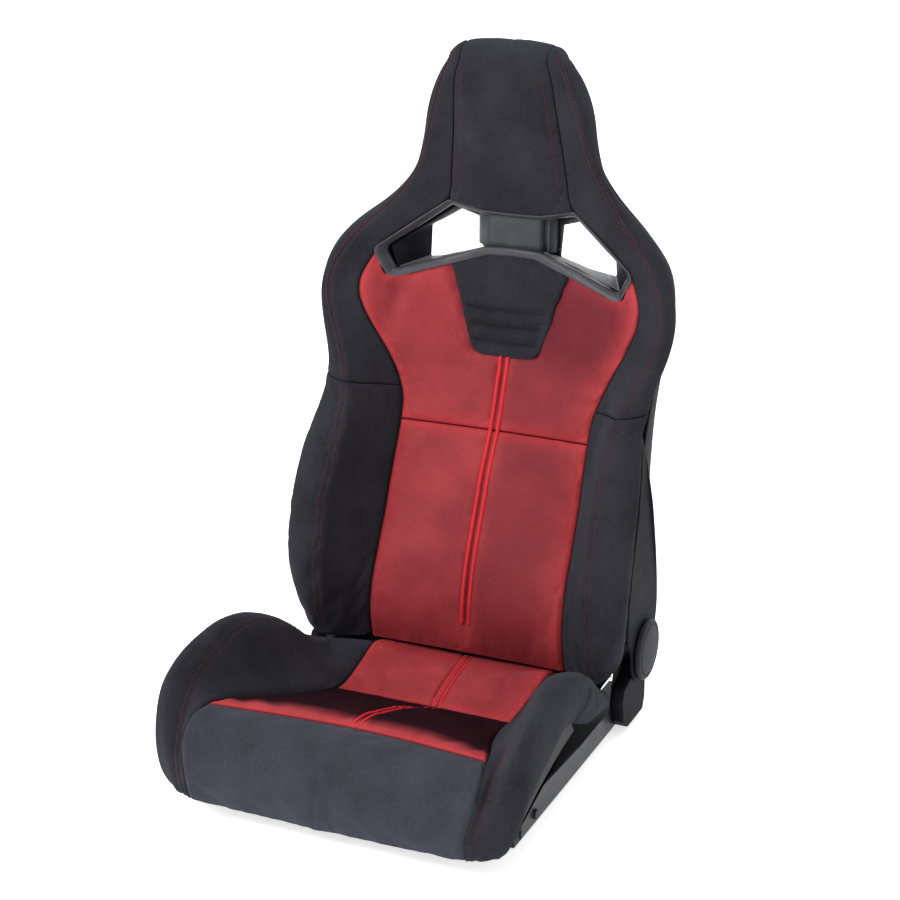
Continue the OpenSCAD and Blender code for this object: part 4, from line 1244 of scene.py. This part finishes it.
outer_loop, inner_loop = matched(whole(OUTER), whole(INNER), 9.0, 3)
across = inner_loop - outer_loop
step = across / np.linalg.norm(across, axis=1, keepdims=True)
back = np.array([0.0, 1, 0])
profile = [outer_loop + back * 9, outer_loop - back * 1.6, outer_loop + step * 0.6 - back * 2.8,
           outer_loop + step * 2.2 - back * 3.8, outer_loop + across * 0.5 - back * 3.4,
           inner_loop - step * 3.4 - back * 2.2, inner_loop - step * 1.0 - back * 1.2, inner_loop + back * 0.6,
           inner_loop + back * 9.5]
faces = ring_faces(len(profile), len(outer_loop), closed=True)
attach(mesh("harness_bezel_frame", np.concatenate(profile), faces, BEZEL), "backrest", "harness_bezel")

# Bridge between the openings: flat face, wide chamfers, a slot down its right side
post = rounded_corners([(-67, 352), (-65, 347), (-39, 324.5), (-36, 323), (37, 323), (40, 324.5), (43, 328),
                        (44, 334), (48, 334), (49, 330), (52, 331), (58, 341), (58, 352)], 1)
rings = [np.column_stack([post, np.full(len(post), z)]) for z in (645.0, 671.0, 697.0)]
obj = mesh("bridge_post", np.concatenate(rings), ring_faces(3, len(post)), POST)
bevelled(obj, 0.0008, 28)
attach(obj, "backrest", "centre_post")

# Rear shell: a smooth skin 3 mm thick, cut through at the openings and round the recline axis
SHELL_ROWS = smoothed([
    (104, 226, 250, 296), (170, 240, 214, 302), (230, 246, 190, 306), (290, 246.5, 190, 314), (350, 247, 196, 322),
    (440, 244, 224, 338), (500, 243, 264, 348), (560, 250, 288, 356), (600, 250, 302, 360), (645, 236, 318, 363),
    (690, 197, 332, 364), (730, 153, 344, 364), (765, 126, 348, 363), (800, 115, 348, 361), (850, 103, 344, 356),
    (900, 90, 338, 346), (930, 75, 327, 336), (944, 48, 319, 327)], 7)


def shell_skin(inset, zs):
    """Rows of the shell's skin round the back, set in by some mm."""
    c = curve(SHELL_ROWS, zs)
    a = np.linspace(0, math.pi, 73)
    a = np.concatenate([[0, 0.004, 0.015], a[1:-1], [math.pi - 0.015, math.pi - 0.004, math.pi]])
    w, f, b = c[:, 0:1] - inset, c[:, 1:2], c[:, 2:3] - inset
    x = w * np.sign(np.cos(a))[None] * np.abs(np.cos(a))[None] ** 0.55
    y = f + (b - f) * np.abs(np.sin(a))[None] ** 0.7
    # Shallow stiffening channels up the back
    z = np.broadcast_to(zs[:, None], x.shape)
    ribs = 1.6 * np.exp(-((np.abs(x) - 96) / 5) ** 2)
    ribs = ribs * np.clip((z - 150) / 30, 0, 1) * np.clip((560 - z) / 30, 0, 1)
    return np.stack([x, y - ribs * (np.sin(a)[None] > 0.5), z], 2)


shell_z = np.concatenate([np.arange(104, 640, 8.0), np.arange(640, 944, 6.0), [944.0]])
skins = np.stack([shell_skin(0.0, shell_z), shell_skin(3.0, shell_z)])
shell = mesh("rear_shell", skins, sheet_faces(*skins.shape[1:3]), SHELL)
DUCT_REAR = [(58, 634), (62, 684), (96, 694), (146, 664), (148, 614), (104, 620)]


def cutter(ring, depth):
    """Prism from a ring of points, to be cut out of the shell."""
    points = np.concatenate([ring, ring + np.array(depth)])
    return mesh("cutter", points, ring_faces(2, len(ring)), SHELL, smooth=False)


def cut(obj, cutters):
    """Take the cutters out of the piece and delete them."""
    for c in cutters:
        mod = obj.modifiers.new("cut", "BOOLEAN")
        mod.operation = "DIFFERENCE"
        mod.solver = "EXACT"
        mod.object = c
    dg = bpy.context.evaluated_depsgraph_get()
    data = bpy.data.meshes.new_from_object(obj.evaluated_get(dg))
    obj.modifiers.clear()
    obj.data = data
    for c in cutters:
        bpy.data.objects.remove(c)


hole = rounded_corners(split_long(DUCT_REAR, 8), 2)
cutters = [cutter(np.column_stack([hole[:, 0] * side, np.full(len(hole), 270.0), hole[:, 1]]), (0, 130.0, 0))
           for side in (1, -1)]
cutters.append(cutter(np.column_stack([np.full(72, -300.0), circle(52, 73, 0, 360)[:-1]]), (600.0, 0, 0)))
cut(shell, cutters)
bevelled(shell, 0.0009, 40)
attach(shell, "backrest", "back_shell")

# Screws of the shell: low heads with a hexagon socket
SCREW_PROFILE = [(0.2, -0.6), (2.9, -0.6), (3.0, 1.6), (4.6, 2.4), (5.6, 1.8), (6.0, 0.8), (6.0, -0.4)]
SOCKET_RADIUS = 3.5
SCREW_SIDES = 36
turn = np.arange(SCREW_SIDES) * 2 * math.pi / SCREW_SIDES
parts = []
for side in (1, -1):
    for px, pz in ((150, 220), (150, 460), (60, 560)):
        w, f, b = curve(SHELL_ROWS, pz)[0]
        py = f + (b - f) * (1 - (145 / 150 * px / w) ** (2 / 0.55)) ** 0.35 + 0.5
        rings = []
        for r, y in SCREW_PROFILE:
            hexagon = np.cos((turn + math.pi / 6) % (math.pi / 3) - math.pi / 6) if r < SOCKET_RADIUS else 1.0
            rr = r / hexagon
            head = [side * px + rr * np.cos(turn), py + y + 0 * turn, pz + rr * np.sin(turn)]
            rings.append(np.stack(head, 1))
        parts.append((np.concatenate(rings), ring_faces(len(rings), SCREW_SIDES)))
joined("shell_screw_heads", parts, ZINC, "backrest", "shell_screws")

# Liners of the harness openings, from the bezel back to the shell
DUCT_FRONT = [(44, 327, 646.5), (60, 347, 648), (61, 347, 692), (94, 332, 703), (184, 298, 640),
              (173, 298, 608.5), (120, 311, 623.5)]
DUCT_BACK = [(57, 356, 634.5), (58, 356.5, 634), (62, 356, 684), (96, 356, 694), (146, 356, 664),
             (148, 356, 614), (104, 356, 620)]
front_loop, back_loop = matched(np.array(DUCT_FRONT, float), np.array(DUCT_BACK, float), 6.0, 2)


def shrunk(loop, by):
    """The loop with each point moved towards the middle, but not in depth."""
    d = loop.mean(0) - loop
    d[:, 1] = 0
    return loop + by * d / np.linalg.norm(d, axis=1, keepdims=True)


mid_loop = lerp(front_loop, back_loop, 0.5)
rings = [front_loop, mid_loop, back_loop, shrunk(back_loop, 2.4), shrunk(mid_loop, 2.4),
         shrunk(front_loop, 2.4) + (0, 0.4, 0)]
faces = ring_faces(len(rings), len(front_loop), closed=True)
for side, word in SIDES:
    obj = mesh(f"harness_liner_{word}", flipped(np.concatenate(rings), side), faces, SHELL)
    # Faces that look up get the lighter grey: painted light from above
    obj.data.materials.append(LINER_TOP_PAINTED_LIGHT)
    for poly in obj.data.polygons:
        if poly.normal.z > 0.45:
            poly.material_index = 1
    bevelled(obj, 0.0006, 40)
    attach(obj, "backrest", f"harness_duct_{word}")


def welt(name, pts, nrm, body, radius=3.4, sink=6.0):
    """The folded seam allowance behind a seam between a side pad and its neighbour, on both sides, in near-black
    matt cloth: painted shade in the seam's gap.
    """
    v, f = tube_mesh(evenly(pts - nrm * sink, 4), radius)
    for side, word in SIDES:
        joined(f"{name}_{word}", [(flipped(v, side), f)], PAINTED_SHADE_CLOTH, body)


z = np.arange(84, 925, 6.0)
p = curve(SEAM, z)
welt("back_seam_welt", np.column_stack([p[:, 0] + 1.8, p[:, 1], z]), np.array([0.0, -1, 0]), "backrest", 3.9)
seat_seam = spline([q[0] for q in STATIONS], [6] * (len(STATIONS) - 1))
out = np.cross(np.gradient(seat_seam, axis=0), np.array([1.0, 0, 0]))
out /= np.linalg.norm(out, axis=1, keepdims=True)
out = out * np.where((out @ np.array([0, -0.5, 1.0])) < 0, -1.0, 1.0)[:, None]
welt("cushion_seam_welt", seat_seam[:-12], out[:-12], "base")
# A near-black cord under the nose seam: painted shade in its gap
nose_line = front[-1][np.abs(front[-1][:, 0]) < 186] + np.array([0.0, 3.5, -6.0])
joined("cushion_nose_welt", [tube_mesh(evenly(nose_line, 4), 3.2)], PAINTED_SHADE_CLOTH, "base")

# Cloth listing that closes the slot between the cushion and the backrest, near-black and matt: painted shade in the
# slot
flap_x = np.linspace(-214, 214, 61)
flap_y = np.array([150, 158, 166, 174, 182, 189, 193])
far = np.clip((np.abs(flap_x) - 132) / 14, 0, 1)
flap = np.stack([np.stack([flap_x, lerp(y + 16, y - 14, far) if k < 3 else np.full(61, y),
                           lerp(62 + 6.0 * math.sin(math.pi * k / 6), 72 - 0.5 * (k - 3) ** 2, far)], 1)
                 for k, y in enumerate(flap_y)])
upholster("bite_line_listing", flap, (0, 0, 1), PAINTED_SHADE_CLOTH, "base", [], roll="lrbt", depth=1.2, width=3,
          thick=1.5, swell=0, fill=0.9)

# CAD nodes that keep their shape get their own finish, and some of them softened edges
KEEP = {
    PAINT: ["front_cross_tube", "rear_cross_tube", "base_side_left", "base_side_right", "seat_pan", "back_arm_left",
            "back_arm_right", "back_hoop", "back_lower_tube", "head_hoop"],
    RAIL: ["rail_left", "rail_right", "frame_bolts"],
    ZINC: ["pan_springs", "lumbar_wires", "mount_nuts", "cross_shaft", "recliner_fixed_left",
           "recliner_fixed_right", "recliner_moving_left", "recliner_moving_right"],
}
for material, names in KEEP.items():
    for name in names:
        obj = bpy.data.objects[name]
        obj.data.materials.clear()
        obj.data.materials.append(material)
        if name.startswith(("rail", "base_side", "back_arm", "frame_bolts", "mount", "recliner")):
            bevelled(obj, 0.0007, 35)


# ---- floor, light and camera ----------------------------------------------------------------

def floor():
    """White floor that curves up into a wall."""
    m, t, b, vec = new_material("pale_floor")
    white = ramp(t, noise(t, vec, 3, 2, 0.5), 0.3, 0.7, (0.93, 0.93, 0.93), (0.95, 0.95, 0.95))
    fill_in(t, b, {"Base Color": white, "Roughness": 0.8, "Emission Color": (1, 1, 1, 1),
                   "Emission Strength": 0.62})
    pts, f = [], []
    prof = [(-5000, 0), (2400, 0)] + [(2400 + 1500 * math.sin(a), 1500 - 1500 * math.cos(a))
                                      for a in np.linspace(0.1, math.pi / 2, 12)] + [(3900, 6000)]
    for y, z in prof:
        pts += [(-6000, y, z - 0.5), (6000, y, z - 0.5)]
    for i in range(len(prof) - 1):
        f.append([2 * i, 2 * i + 1, 2 * i + 3, 2 * i + 2])
    obj = mesh("studio_floor", pts, f, m)


floor()


def area_light(name, loc, target, size, power):
    """A rectangular light that points at the target, in metres and watts."""
    data = bpy.data.lights.new(name, "AREA")
    data.shape = "RECTANGLE"
    data.size = size[0]
    data.size_y = size[1]
    data.energy = power
    obj = bpy.data.objects.new(name, data)
    obj.location = loc
    obj.rotation_euler = (Vector(target) - Vector(loc)).to_track_quat("-Z", "Y").to_euler()
    bpy.context.scene.collection.objects.link(obj)


area_light("key", (-1.9, -1.9, 2.3), (0, 0.1, 0.45), (1.6, 1.6), 76)
area_light("top", (0.1, 0.2, 2.7), (0, 0.15, 0.3), (1.8, 1.4), 30)
area_light("fill", (2.3, -1.6, 1.4), (0, 0.1, 0.4), (1.8, 1.8), 3)
area_light("front", (0.2, -3.0, 1.1), (0, 0.0, 0.4), (2.0, 1.2), 16)
area_light("back", (0.8, 2.3, 1.9), (0, 0.2, 0.5), (1.6, 1.4), 8)
world = bpy.data.worlds.new("studio")
world.use_nodes = True
world.node_tree.nodes["Background"].inputs["Color"].default_value = (1, 1, 1, 1)
world.node_tree.nodes["Background"].inputs["Strength"].default_value = 0.5
bpy.context.scene.world = world
bpy.context.scene.view_settings.view_transform = "Standard"

# Camera: where it stands in metres, how far it is turned and tilted, and its lens in mm
CAMERA_AT = (1.12332, -2.43375, 1.40615)
AZIMUTH = math.radians(23.95)
ELEVATION = math.radians(19.72)
FOCAL_LENGTH = 84.68
SENSOR_WIDTH = 36.0
ca, sa, ce, se = math.cos(AZIMUTH), math.sin(AZIMUTH), math.cos(ELEVATION), math.sin(ELEVATION)
rows = zip((ca, sa, 0), (-sa * se, ca * se, ce), (sa * ce, -ca * ce, se), CAMERA_AT)
cam_data = bpy.data.cameras.new("camera")
cam_data.lens = FOCAL_LENGTH
cam_data.sensor_width = SENSOR_WIDTH
cam_data.clip_end = 50
cam = bpy.data.objects.new("camera", cam_data)
cam.matrix_world = Matrix([*rows, (0, 0, 0, 1)])
bpy.context.scene.collection.objects.link(cam)
bpy.context.scene.camera = cam
